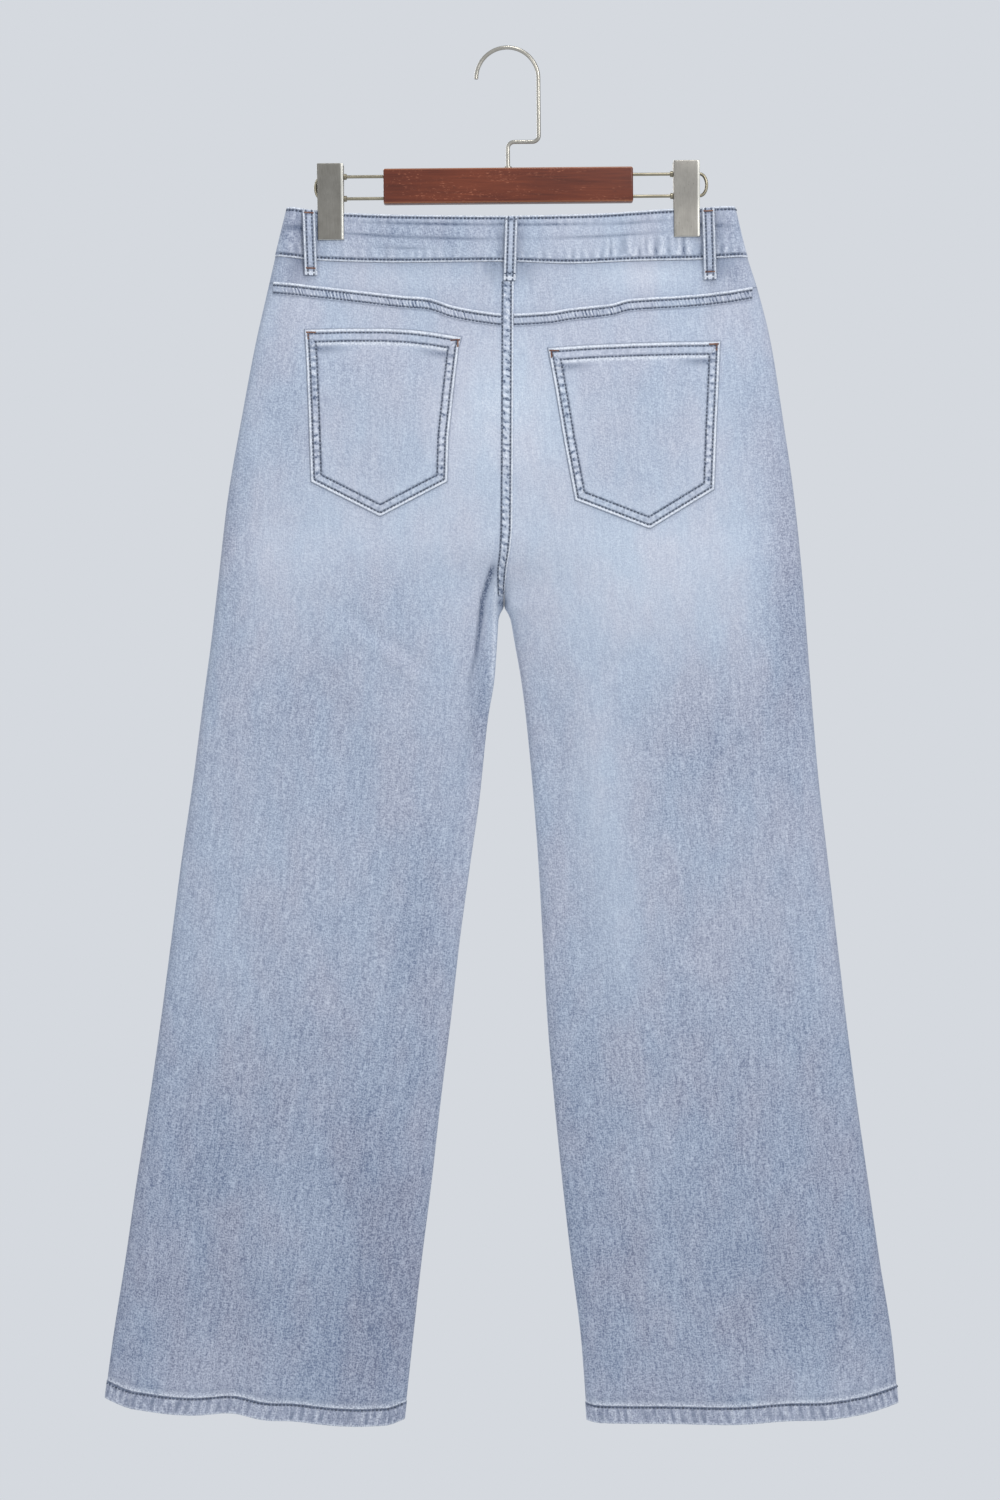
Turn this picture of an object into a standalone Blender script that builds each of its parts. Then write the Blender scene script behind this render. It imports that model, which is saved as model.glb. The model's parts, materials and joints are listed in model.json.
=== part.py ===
# Wide-leg jeans hanging by the waistband from a two-clip hanger, seen from behind.
# Metres, +Z up. The origin is where the hook rests on its peg. -Y is the garment's back, +X is
# the wearer's right side. The cloth is a set of walls lofted through sections of the garment.

import math

import bmesh
import bpy
from mathutils import Vector
from mathutils.bvhtree import BVHTree

# Cloth and seams
CLOTH = 0.0016
SEAM_GAP = 0.0003
BAND_PROUD = 0.0006
BAND_WALL = 0.0024
HEM_PROUD = 0.0005
HEM_WALL = 0.0032
HEM_HEIGHT = 0.0155
HEM_LEVEL = -1.190
FLATNESS = 0.62
COLUMNS = 13

# The garment's outline: how far it reaches to each side, and how deep it hangs behind and in front
OUTLINE_COLUMNS = ("height", "left", "right", "back", "front")
OUTLINE = (
    (-0.137, -0.191, 0.198, 0.010, 0.009),
    (-0.174, -0.200, 0.207, 0.013, 0.011),
    (-0.209, -0.208, 0.218, 0.015, 0.012),
    (-0.253, -0.218, 0.229, 0.018, 0.014),
    (-0.322, -0.231, 0.240, 0.022, 0.016),
    (-0.392, -0.243, 0.250, 0.024, 0.018),
    (-0.462, -0.251, 0.257, 0.025, 0.019),
    (-0.514, -0.257, 0.261, 0.024, 0.019),
    (-0.566, -0.264, 0.265, 0.022, 0.018),
    (-0.636, -0.273, 0.271, 0.020, 0.017),
    (-0.705, -0.283, 0.279, 0.019, 0.016),
    (-0.775, -0.292, 0.287, 0.018, 0.016),
    (-0.844, -0.301, 0.295, 0.018, 0.015),
    (-0.914, -0.311, 0.304, 0.017, 0.015),
    (-0.984, -0.322, 0.314, 0.017, 0.014),
    (-1.053, -0.332, 0.324, 0.016, 0.014),
    (-1.123, -0.343, 0.335, 0.015, 0.013),
    (-1.200, -0.353, 0.342, 0.015, 0.013),
)

# The seat seam down to the crotch, then the inner edge of each leg
CROTCH = -0.484
CROTCH_CURVE = 0.075
INSIDE_COLUMNS = ("height", "left", "right")
INSIDE = (
    (-0.137, 0.0015, 0.0015),
    (-0.209, 0.0015, 0.0015),
    (-0.253, 0.0000, 0.0000),
    (-0.375, 0.0003, 0.0003),
    (-0.418, -0.0009, -0.0009),
    (-0.450, -0.0026, -0.0026),
    (-0.484, -0.0026, -0.0026),
    (-0.494, -0.0070, 0.0024),
    (-0.514, -0.0083, 0.0061),
    (-0.549, -0.0109, 0.0122),
    (-0.583, -0.0165, 0.0165),
    (-0.653, -0.0239, 0.0231),
    (-0.705, -0.0313, 0.0270),
    (-0.775, -0.0409, 0.0310),
    (-0.844, -0.0487, 0.0350),
    (-0.914, -0.0574, 0.0409),
    (-0.984, -0.0653, 0.0479),
    (-1.053, -0.0740, 0.0557),
    (-1.123, -0.0818, 0.0644),
    (-1.200, -0.0900, 0.0700),
)

# Lines that run across the garment, each as places across and the height there
BAND_TOP = ((-0.192, -0.1375), (-0.141, -0.1422), (-0.076, -0.1449), (-0.006, -0.1462),
            (0.072, -0.1440), (0.144, -0.1388), (0.199, -0.1370))
WAIST_SEAM = ((-0.201, -0.1805), (-0.161, -0.1840), (-0.077, -0.1862), (-0.004, -0.1860),
              (0.050, -0.1875), (0.114, -0.1844), (0.168, -0.1831), (0.208, -0.1812))
YOKE_SEAM = ((-0.207, -0.2035), (-0.172, -0.2066), (-0.133, -0.2110), (-0.091, -0.2162),
             (-0.070, -0.2180), (-0.047, -0.2254), (-0.023, -0.2300), (0.000, -0.2325),
             (0.037, -0.2305), (0.055, -0.2275), (0.091, -0.2232), (0.106, -0.2190),
             (0.157, -0.2154), (0.187, -0.2126), (0.217, -0.2076))
HEM_LINE = {
    "left": ((-0.351, -1.1725), (-0.326, -1.1810), (-0.286, -1.1862), (-0.238, -1.1862),
             (-0.198, -1.1928), (-0.132, -1.1962), (-0.106, -1.1955), (-0.088, -1.1905)),
    "right": ((0.068, -1.1915), (0.081, -1.1936), (0.185, -1.1946), (0.265, -1.1915),
              (0.305, -1.1862), (0.341, -1.1767)),
}
FRONT_DIP = 0.011
FRONT_DIP_REACH = 0.150
LEFT_HEM_DROP = 0.0040
LEFT_HEM_DROP_PLACE = -0.262
LEFT_HEM_DROP_SPREAD = 0.026

# How the clips pinch the waist, and how far down the cloth opens again
CLIP_PLACES = (-0.1545, 0.1550)
PINCH = 0.0026
WAIST_BELLY = {"back": 0.0085, "front": 0.0080}
WAIST_LOBE = 0.0042
WAIST_LOBE_SPREAD = 0.018
WAIST_ROUND = 0.007
PINCH_HALF = 0.0135
PINCH_END = -0.176
PINCH_GONE = -0.300

# Folds: height of the ridge (a trough when negative), half its width, and its two ends
FOLD_COLUMNS = ("face", "rise", "spread", "top across", "top height", "end across", "end height")
FOLDS = (
    ("back", -0.0062, 0.0090, -0.006, -0.440, -0.034, -0.670),
    ("back", 0.0034, 0.0060, 0.004, -0.440, -0.022, -0.670),
    ("back", -0.0036, 0.0130, -0.030, -0.590, -0.050, -0.760),
    ("back", 0.0030, 0.0240, 0.072, -0.540, 0.118, -0.900),
    ("back", -0.0026, 0.0220, 0.030, -0.500, 0.070, -0.780),
    ("back", -0.0024, 0.0260, -0.180, -0.470, -0.120, -0.700),
    ("back", 0.0026, 0.0300, -0.150, -0.620, -0.210, -1.080),
    ("back", -0.0022, 0.0240, -0.260, -0.760, -0.285, -1.170),
    ("back", 0.0030, 0.0180, -0.200, -1.000, -0.226, -1.260),
    ("back", -0.0026, 0.0200, -0.120, -0.980, -0.160, -1.260),
    ("back", -0.0024, 0.0240, 0.200, -0.640, 0.262, -1.050),
    ("back", 0.0028, 0.0260, 0.150, -0.860, 0.170, -1.260),
    ("back", -0.0022, 0.0200, 0.235, -1.040, 0.262, -1.260),
    ("front", -0.0045, 0.0140, 0.020, -0.450, 0.066, -0.640),
    ("front", -0.0045, 0.0140, -0.022, -0.450, -0.070, -0.650),
    ("front", 0.0030, 0.0240, 0.120, -0.560, 0.160, -0.980),
    ("front", 0.0030, 0.0240, -0.130, -0.560, -0.190, -0.980),
    ("front", -0.0026, 0.0220, 0.220, -0.760, 0.250, -1.240),
    ("front", -0.0026, 0.0220, -0.250, -0.760, -0.280, -1.240),
    ("front", 0.0026, 0.0200, 0.130, -1.000, 0.140, -1.260),
    ("front", 0.0026, 0.0200, -0.150, -1.000, -0.170, -1.260),
)

# Patch pockets on the back: their corners round, as places across and heights
POCKET_WALL = 0.0014
POCKETS = {
    "left": ((-0.1760, -0.2442), (-0.1060, -0.2434), (-0.0640, -0.2472), (-0.0388, -0.2515),
             (-0.0510, -0.3780), (-0.1096, -0.4085), (-0.1700, -0.3778)),
    "right": ((0.0347, -0.2610), (0.1853, -0.2546), (0.1796, -0.3845), (0.1234, -0.4190),
              (0.0583, -0.3940)),
}

# Felled seams, belt loops and the closed front
SEAM_WALL = 0.0010
SEAT_BAND = ((-0.0047, -0.2035), (0.0056, -0.2035), (0.0045, -0.4140), (0.0020, -0.4700),
             (-0.0065, -0.4700), (-0.0058, -0.4140))
YOKE_BAND_ABOVE = 0.0012
YOKE_BAND_BELOW = 0.0103
YOKE_BAND_ENDS = {"left": (-0.2030, -0.0052), "right": (0.0060, 0.2130)}
LOOP_WIDTH = 0.0112
LOOP_WALL = 0.0016
LOOP_BOW = 0.0014
LOOP_LIFT = 0.0004
LOOP_DROP = 0.0012
LOOP_COLUMNS = ("name", "face", "top across", "end across", "reach below the waist seam")
LOOPS = (
    ("loop_back_left", "back", -0.1722, -0.1702, 0.0135),
    ("loop_back_center", "back", 0.0038, 0.0022, 0.0165),
    ("loop_back_right", "back", 0.1746, 0.1764, 0.0180),
    ("loop_front_left", "front", -0.0850, -0.0860, 0.0150),
    ("loop_front_right", "front", 0.0850, 0.0860, 0.0150),
)
FLY = ((0.0012, -0.1700), (0.0012, -0.3260), (-0.0120, -0.3230), (-0.0230, -0.3130),
       (-0.0310, -0.2980), (-0.0350, -0.2800), (-0.0350, -0.1700))
SCOOP_WIDTH = 0.105
SCOOP_DROP = 0.0695
SCOOP_OVER = 0.020
FACING_WALL = 0.0012
FACING_ROWS = 6
FACING_EDGE_ROWS = 3
FACING_COLUMNS = 10
BUTTON_RADIUS = 0.0085
BUTTON_HEIGHT = 0.0034
BUTTON_PLACE = -0.006

# The hanger
HANGER_TILT = math.radians(-0.5)
HOOK_WIRE = 0.0035
HOOK_RADIUS = 0.0270
HOOK_SHELF = -0.0805
HOOK_BEND = 0.0055
BAR_SIZE = (0.2170, 0.0130, 0.0305)
BAR_CENTER = -0.1187
BAR_ROUND = 0.0022
STEM_DEPTH = 0.020
ROD_WIRE = 0.0028
ROD_HEIGHTS = (-0.1096, -0.1287)
ROD_ENDS = (-0.1690, 0.1740)
ROD_DEPTH = 0.030
BORE_PLAY = 0.0003
JAW_WIDTH = 0.0228
JAW_TOP = -0.0990
JAW_LENGTH = 0.0660
JAW_WALL = 0.0012
JAW_GRIP = 0.0039
JAW_SPREAD = 0.0085
JAW_STRAIGHT = 0.022
JAW_FLANGE = 0.0034
JAW_FLANGE_START = -0.1345
JAW_FLANGE_FULL = -0.1250
JAW_LIP = 0.0003
SADDLE_WIDTH = 0.0135
SADDLE_TOP = -0.1035
SADDLE_END = -0.1345

SIDES = ("left", "right")
SIGN = {"left": -1, "right": 1}
FACE_SIGN = {"back": -1, "front": 1}

COLOURS = {
    "denim": (0.47, 0.53, 0.66, 1.0),
    "walnut": (0.20, 0.06, 0.03, 1.0),
    "nickel": (0.56, 0.54, 0.49, 1.0),
}
ROUGHNESS = {"denim": 0.85, "walnut": 0.35, "nickel": 0.35}
METALLIC = {"denim": 0.0, "walnut": 0.0, "nickel": 1.0}


# Curves through table rows

def curve_value(places, values, at):
    """The monotone cubic through (place, value) pairs, at one place."""
    if places[0] > places[-1]:
        places, values = places[::-1], values[::-1]
    if at <= places[0]:
        return values[0]
    if at >= places[-1]:
        return values[-1]
    i = max(k for k in range(len(places) - 1) if places[k] <= at)
    steps = [b - a for a, b in zip(places, places[1:])]
    slopes = [(b - a) / h for a, b, h in zip(values, values[1:], steps)]

    def tangent(k):
        if k == 0:
            return slopes[0]
        if k == len(places) - 1:
            return slopes[-1]
        before, after = slopes[k - 1], slopes[k]
        return 0.0 if before * after <= 0 else 2 * before * after / (before + after)

    h = steps[i]
    t = (at - places[i]) / h
    start, end = values[i], values[i + 1]
    rise_in, rise_out = tangent(i) * h, tangent(i + 1) * h
    return (start * (2 * t**3 - 3 * t**2 + 1) + rise_in * (t**3 - 2 * t**2 + t)
            + end * (3 * t**2 - 2 * t**3) + rise_out * (t**3 - t**2))


def from_table(table, columns, name, height):
    k = columns.index(name)
    return curve_value([row[0] for row in table], [row[k] for row in table], height)


def line_height(line, across):
    return curve_value([p[0] for p in line], [p[1] for p in line], across)


def smooth(low, high, at):
    t = min(max((at - low) / (high - low), 0.0), 1.0)
    return t * t * (3 - 2 * t)


def blend(a, b, t):
    return a + (b - a) * t


# The garment's form

def section_turn(z):
    """Half a turn round a leg, and a quarter turn from the side seam to the seat seam above it."""
    return math.pi * (1 - 0.5 * smooth(CROTCH, CROTCH + CROTCH_CURVE, z))


def edges(side, z, inset):
    """Where a half of the garment starts at the side seam and ends at the seat seam or inseam."""
    sign = SIGN[side]
    leg = 2 * section_turn(z) / math.pi - 1
    outer = from_table(OUTLINE, OUTLINE_COLUMNS, side, z) - sign * inset
    inner = from_table(INSIDE, INSIDE_COLUMNS, side, z) + sign * (SEAM_GAP / 2 + inset * leg)
    return outer, inner


def across_at(side, u, z, inset=0.0):
    """The place across, u from 0 at the side seam to 1 at the middle, evenly round the section."""
    outer, inner = edges(side, z, inset)
    turn = section_turn(z)
    return blend(outer, inner, (1 - math.cos(turn * u)) / (1 - math.cos(turn)))


def fold_height(face, x, z):
    total = 0.0
    for row in FOLDS:
        fold = dict(zip(FOLD_COLUMNS, row))
        if fold["face"] != face:
            continue
        start = Vector((fold["top across"], fold["top height"]))
        run = Vector((fold["end across"], fold["end height"])) - start
        offset = Vector((x, z)) - start
        t = offset.dot(run) / run.length_squared
        if not 0 < t < 1:
            continue
        away = (offset - run * t).length / fold["spread"]
        total += fold["rise"] * math.exp(-away * away) * math.sin(math.pi * t) ** 0.8
    return total


def waist_depth(face, x):
    """The pinched waist: a belly between the clips and a small lobe beyond each of them."""
    low, high = CLIP_PLACES
    reach = (high - low) / 2 - PINCH_HALF
    from_middle = abs(x - (low + high) / 2)
    if from_middle < reach:
        t = from_middle / reach
        return PINCH + WAIST_BELLY[face] * (1 - t * t) ** 2
    past = min(max((from_middle - reach - 2 * PINCH_HALF) / WAIST_LOBE_SPREAD, 0.0), 1.0)
    return PINCH + WAIST_LOBE * math.sin(past * math.pi / 2) ** 2


def half_depth(side, face, x, z, inset):
    """How far the cloth lies behind or in front of the hanging plane, inset into the wall."""
    outer, inner = edges(side, z, inset)
    share = min(max((x - outer) / (inner - outer), 0.0), 1.0)
    turn = section_turn(z)
    angle = math.acos(1 - share * (1 - math.cos(turn)))
    round_off = max(math.sin(angle), 0.0) ** FLATNESS
    body = (from_table(OUTLINE, OUTLINE_COLUMNS, face, z) - inset) * round_off
    from_edge = min(abs(x - outer) / WAIST_ROUND, 1.0)
    waist = (waist_depth(face, x) - inset) * math.sqrt(1 - (1 - from_edge) ** 2)
    opened = smooth(PINCH_END, PINCH_GONE, z)
    return blend(waist, body, opened) + fold_height(face, x, z) * min(1.0, 2 * round_off) * opened


def cloth_point(side, face, x, z, inset=0.0, gap=SEAM_GAP / 2):
    depth = max(half_depth(side, face, x, z, inset), 0.0) + gap
    return Vector((x, FACE_SIGN[face] * depth, z))


def seam_line(line, face, x):
    """The height of a line across the waist. The front dips below the back."""
    dip = 0.0
    if face == "front":
        dip = FRONT_DIP * (1 - smooth(0.0, FRONT_DIP_REACH, abs(x)))
    return line_height(line, x) - dip


def hem_end(side, face, x):
    """The height of a leg's lower edge. The left front hangs a little lower in one place."""
    drop = 0.0
    if (side, face) == ("left", "front"):
        away = (x - LEFT_HEM_DROP_PLACE) / LEFT_HEM_DROP_SPREAD
        drop = LEFT_HEM_DROP * math.exp(-away * away)
    return line_height(HEM_LINE[side], x) - drop


def on_line(side, face, u, line, drop=0.0):
    """The height where column u of a half meets a line across the garment."""
    z = line[0][1]
    for _ in range(4):
        z = seam_line(line, face, across_at(side, u, z)) - drop
    return z


# Making objects

def material(name):
    found = bpy.data.materials.get(name)
    if found:
        return found
    made = bpy.data.materials.new(name)
    made.use_nodes = True
    shader = made.node_tree.nodes["Principled BSDF"]
    shader.inputs["Base Color"].default_value = COLOURS[name]
    shader.inputs["Roughness"].default_value = ROUGHNESS[name]
    shader.inputs["Metallic"].default_value = METALLIC[name]
    return made


def add_object(name, mesh, finish, parent=None):
    made = bpy.data.objects.new(name, mesh)
    mesh.materials.append(material(finish))
    jeans.objects.link(made)
    made.parent = parent
    return made


def mesh_from(name, bm):
    mesh = bpy.data.meshes.new(name)
    bm.to_mesh(mesh)
    bm.free()
    return mesh


def cutter(name, bm):
    made = bpy.data.objects.new(name, mesh_from(name, bm))
    cutters.objects.link(made)
    made.hide_render = True
    made.display_type = "WIRE"
    return made


def cut_with(target, tool):
    cut = target.modifiers.new(tool.name, "BOOLEAN")
    cut.operation = "DIFFERENCE"
    cut.solver = "EXACT"
    cut.object = tool


def wall(name, outer, inner, ring=False, finish="denim"):
    """A cloth wall between two grids of points, outer and inner, row by row.

    The rims at the side seams lie flat against the next panel's, so the inner grid comes
    from the same sections, inset. A ring joins each row's end to its start.
    """
    bm = bmesh.new()
    grids = [[[bm.verts.new(p) for p in row] for row in grid] for grid in (outer, inner)]
    rows, columns = len(outer), len(outer[0])
    last = columns if ring else columns - 1

    def face(*corners):
        bm.faces.new(corners)

    for grid, flip in zip(grids, (False, True)):
        for r in range(rows - 1):
            for c in range(last):
                d = (c + 1) % columns
                quad = (grid[r][c], grid[r + 1][c], grid[r + 1][d], grid[r][d])
                face(*(quad[::-1] if flip else quad))
    for r in (0, rows - 1):
        for c in range(last):
            d = (c + 1) % columns
            face(grids[0][r][c], grids[0][r][d], grids[1][r][d], grids[1][r][c])
    if not ring:
        for r in range(rows - 1):
            for c in (0, columns - 1):
                face(grids[0][r][c], grids[0][r + 1][c], grids[1][r + 1][c], grids[1][r][c])
    bmesh.ops.recalc_face_normals(bm, faces=bm.faces)
    bmesh.ops.triangulate(bm, faces=bm.faces, quad_method="SHORT_EDGE")
    mesh = mesh_from(name, bm)
    mesh.shade_smooth()
    mesh.set_sharp_from_angle(angle=math.radians(40))
    return add_object(name, mesh, finish)


def two_grids(rows, point, outside, inside):
    """Both grids of a wall, from rows of (side, face, across or u, height) and a point maker."""
    return [[[point(*place, inset) for place in row] for row in rows]
            for inset in (outside, inside)]


def column_point(side, face, u, z, inset):
    return cloth_point(side, face, across_at(side, u, z, inset), z, inset)


def ring_point(side, face, u, z, inset):
    return cloth_point(side, face, across_at(side, u, z, inset), z, inset, gap=0.0)


# Leg panels, yoke, waistband and hems

def even(count):
    return [i / count for i in range(count + 1)]


def leg_steps(top, end):
    """How far down each row lies, denser round the crotch, where the two legs part."""
    heights = [top, -0.2615, -0.2670, -0.2950, -0.330, -0.370, -0.405, -0.432, -0.455, -0.472,
               CROTCH, -0.494, -0.514, -0.545, -0.583, -0.630, -0.690, -0.760, -0.840,
               -0.920, -1.000, -1.070, -1.125, end]
    return [(top - z) / (top - end) for z in heights]


def leg_panel(side, face):
    line = YOKE_SEAM if face == "back" else WAIST_SEAM
    hem_top = HEM_HEIGHT + SEAM_GAP
    middle_end = line_height(HEM_LINE[side], edges(side, HEM_LEVEL, 0.0)[1]) + hem_top
    middle_top = on_line(side, face, 1.0, line, SEAM_GAP + YOKE_BAND_BELOW)
    rows = [[(side, face, u, on_line(side, face, u, line, SEAM_GAP)) for u in even(COLUMNS)]]
    for step in leg_steps(middle_top, middle_end):
        row = []
        for u in even(COLUMNS):
            top = on_line(side, face, u, line, SEAM_GAP + YOKE_BAND_BELOW)
            end = hem_end(side, face, across_at(side, u, HEM_LEVEL)) + hem_top
            row.append((side, face, u, blend(top, end, step)))
        rows.append(row)
    outer, inner = two_grids(rows, column_point, 0.0, CLOTH)
    made = wall(f"{face}_{side}", outer, inner)
    if face == "front":
        scoop(made, side)
        pocket_facing(side, outer, inner)
    return outer


def scoop(panel, side):
    """Cuts the curved mouth of the front pocket out of a front panel's upper outer corner."""
    sign = SIGN[side]
    top = on_line(side, "front", 0.0, WAIST_SEAM)
    edge = from_table(OUTLINE, OUTLINE_COLUMNS, side, top - SCOOP_DROP)
    outline = [(edge + sign * SCOOP_OVER, top + SCOOP_OVER),
               (edge - sign * SCOOP_WIDTH, top + SCOOP_OVER)]
    for t in even(8):
        angle = math.pi / 2 * t
        outline.append((edge - sign * SCOOP_WIDTH * math.cos(angle),
                        top - SCOOP_DROP * math.sin(angle)))
    outline.append((edge + sign * SCOOP_OVER, top - SCOOP_DROP))
    bm = bmesh.new()
    mouth = bm.faces.new([bm.verts.new((x, -SCOOP_OVER, z)) for x, z in outline])
    grown = bmesh.ops.extrude_face_region(bm, geom=[mouth])["geom"]
    bmesh.ops.translate(bm, verts=[v for v in grown if isinstance(v, bmesh.types.BMVert)],
                        vec=(0.0, 4 * SCOOP_OVER, 0.0))
    bmesh.ops.recalc_face_normals(bm, faces=bm.faces)
    cut_with(panel, cutter(f"scoop_{side}", bm))


def yoke(side):
    rows = []
    for step in (0.0, 0.5, 1.0):
        row = []
        for u in even(COLUMNS):
            top = on_line(side, "back", u, WAIST_SEAM, SEAM_GAP)
            end = on_line(side, "back", u, YOKE_SEAM) + YOKE_BAND_ABOVE
            row.append((side, "back", u, blend(top, end, step)))
        rows.append(row)
    rows.append([(side, "back", u, on_line(side, "back", u, YOKE_SEAM)) for u in even(COLUMNS)])
    outer, inner = two_grids(rows, column_point, 0.0, CLOTH)
    wall(f"yoke_{side}", outer, inner)
    return outer


def waistband():
    """One ring, from the left side seam across the back and home over the front."""
    there = even(COLUMNS)
    around = ([("left", "back", u) for u in there] + [("right", "back", u) for u in there[-2::-1]]
              + [("right", "front", u) for u in there[1:]]
              + [("left", "front", u) for u in there[-2:0:-1]])
    rows = []
    for step in even(3):
        row = []
        for side, face, u in around:
            top = on_line(side, face, u, BAND_TOP)
            end = on_line(side, face, u, WAIST_SEAM)
            row.append((side, face, u, blend(top, end, step)))
        rows.append(row)
    outer, inner = two_grids(rows, ring_point, -BAND_PROUD, BAND_WALL - BAND_PROUD)
    wall("waistband", outer, inner, ring=True)
    return outer


def hem(side):
    columns = even(COLUMNS)
    around = [("back", u) for u in columns] + [("front", u) for u in columns[-2:0:-1]]
    rows = []
    for step in even(2):
        row = []
        for face, u in around:
            end = hem_end(side, face, across_at(side, u, HEM_LEVEL))
            row.append((side, face, u, blend(end + HEM_HEIGHT, end, step)))
        rows.append(row)
    outer, inner = two_grids(rows, ring_point, -HEM_PROUD, HEM_WALL - HEM_PROUD)
    wall(f"hem_{side}", outer, inner, ring=True)


# Pieces that lie on the panels, each made from a panel's own points

def lay(name, face, grid, cuts, thickness):
    """A stretch of the cloth's points, cut to shape, moved out and thickened."""
    bm = bmesh.new()
    verts = [[bm.verts.new(p) for p in row] for row in grid]
    for above, below in zip(verts, verts[1:]):
        for a, b, c, d in zip(above, above[1:], below[1:], below):
            bm.faces.new((a, b, c, d) if face == "front" else (d, c, b, a))
    bmesh.ops.triangulate(bm, faces=bm.faces, quad_method="SHORT_EDGE")
    for point, outward in cuts:
        bmesh.ops.bisect_plane(bm, geom=bm.verts[:] + bm.edges[:] + bm.faces[:],
                               dist=0.000001, plane_co=point, plane_no=outward,
                               clear_outer=True)
    bm.normal_update()
    moves = [(v, v.normal * SEAM_GAP) for v in bm.verts]
    for v, move in moves:
        v.co += move
    made = add_object(name, mesh_from(name, bm), "denim")
    body = made.modifiers.new("Cloth thickness", "SOLIDIFY")
    body.thickness = thickness
    body.offset = 1.0
    return made


def within(corners):
    """The planes that cut a piece to a convex outline of places across and heights."""
    middle = sum((Vector(c) for c in corners), Vector((0.0, 0.0))) / len(corners)
    planes = []
    for a, b in zip(corners, corners[1:] + corners[:1]):
        outward = Vector((b[1] - a[1], a[0] - b[0]))
        if outward.dot(Vector(a) - middle) < 0:
            outward.negate()
        planes.append(((a[0], 0.0, a[1]), (outward.x, 0.0, outward.y)))
    return planes


def halves(left, right):
    """One grid over both halves, from the left side seam to the right one."""
    return [a + b[::-1] for a, b in zip(left, right)]


def yoke_band(side, yoke_grid, panel_grid):
    """The felled seam under the yoke, from the side seam to the seat seam's band."""
    grid = yoke_grid[-2:] + panel_grid[:2]
    if side == "right":
        grid = [row[::-1] for row in grid]
    low, high = YOKE_BAND_ENDS[side]
    cuts = [((low, 0.0, 0.0), (-1.0, 0.0, 0.0)), ((high, 0.0, 0.0), (1.0, 0.0, 0.0))]
    lay(f"yoke_seam_{side}", "back", grid, cuts, SEAM_WALL)


def pocket_facing(side, panel_outer, panel_inner):
    """The cloth behind the front pocket's mouth, from the panel's inner points.

    Along the mouth it reaches out to the side seam, where the panel is cut away.
    """
    part = [row[1:FACING_COLUMNS] for row in panel_inner[:FACING_ROWS]]
    near, far = [[[p - Vector((0.0, depth, 0.0)) for p in row] for row in part]
                 for depth in (SEAM_GAP, SEAM_GAP + FACING_WALL)]
    for r in range(FACING_ROWS):
        if r < FACING_EDGE_ROWS:
            edge = panel_outer[r][0]
            near[r].insert(0, edge + Vector((0.0, FACING_WALL, 0.0)))
            far[r].insert(0, edge)
        else:
            for row in (near[r], far[r]):
                row.insert(1, row[0].lerp(row[1], 0.5))
    wall(f"pocket_facing_{side}", near, far)


def tree_of(grids):
    """A tree of the cloth's faces, to find how far out it reaches."""
    points, faces = [], []
    for grid in grids:
        for above, below in zip(grid, grid[1:]):
            for a, b, c, d in zip(above, above[1:], below[1:], below):
                faces.append([len(points) + k for k in range(4)])
                points += [a, b, c, d]
    return BVHTree.FromPolygons(points, faces)


def reach_out(tree, face, x, z, around):
    """How far out the cloth reaches near one place."""
    found = 0.0
    for dx in (-around, 0.0, around):
        for dz in (-around, 0.0, around):
            start = Vector((x + dx, FACE_SIGN[face] * 0.1, z + dz))
            hit = tree.ray_cast(start, Vector((0.0, -FACE_SIGN[face], 0.0)))[0]
            if hit:
                found = max(found, abs(hit.y))
    return found


def belt_loop(tree, loop):
    """A sewn strap that stands a little off the waistband between its two tacked ends."""
    face = loop["face"]
    top_across, end_across = loop["top across"], loop["end across"]
    top = seam_line(BAND_TOP, face, top_across) - LOOP_DROP
    end = seam_line(WAIST_SEAM, face, end_across) - loop["reach below the waist seam"]
    near, far = [], []
    for v in even(10):
        z = blend(top, end, v)
        middle = blend(top_across, end_across, v)
        bow = LOOP_LIFT + LOOP_BOW * math.sin(math.pi * v)
        places = [middle + LOOP_WIDTH * (f - 0.5) for f in even(2)]
        depths = [reach_out(tree, face, x, z, LOOP_WIDTH / 4) + bow for x in places]
        near.append([Vector((x, FACE_SIGN[face] * d, z)) for x, d in zip(places, depths)])
        far.append([Vector((x, FACE_SIGN[face] * (d + LOOP_WALL), z))
                    for x, d in zip(places, depths)])
    wall(loop["name"], far, near)


def button(tree):
    """A domed metal button on the front of the waistband."""
    z = (seam_line(BAND_TOP, "front", 0.0) + seam_line(WAIST_SEAM, "front", 0.0)) / 2
    seat = reach_out(tree, "front", BUTTON_PLACE, z, BUTTON_RADIUS) + SEAM_GAP
    profile = ((0.0, BUTTON_HEIGHT * 0.75), (0.55, BUTTON_HEIGHT * 0.80), (0.82, BUTTON_HEIGHT),
               (1.0, BUTTON_HEIGHT * 0.70), (0.92, BUTTON_HEIGHT * 0.30), (0.45, 0.0), (0.0, 0.0))
    bm = bmesh.new()
    points = [bm.verts.new((BUTTON_RADIUS * r, 0.0, h)) for r, h in profile]
    for a, b in zip(points, points[1:]):
        bm.edges.new((a, b))
    made = add_object("button", mesh_from("button", bm), "nickel")
    made.location = (BUTTON_PLACE, seat, z)
    made.rotation_euler = (math.radians(-90), 0.0, 0.0)
    spin = made.modifiers.new("Turned", "SCREW")
    spin.steps = spin.render_steps = 24
    spin.use_merge_vertices = True
    spin.merge_threshold = 0.00005
    return made


# The hanger

def arc(center, radius, start, end, count):
    """Points on an arc in the XZ plane, angles in degrees from +X towards +Z."""
    angles = [math.radians(blend(start, end, t)) for t in even(count)]
    return [(center[0] + radius * math.cos(a), 0.0, center[1] + radius * math.sin(a))
            for a in angles]


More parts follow.
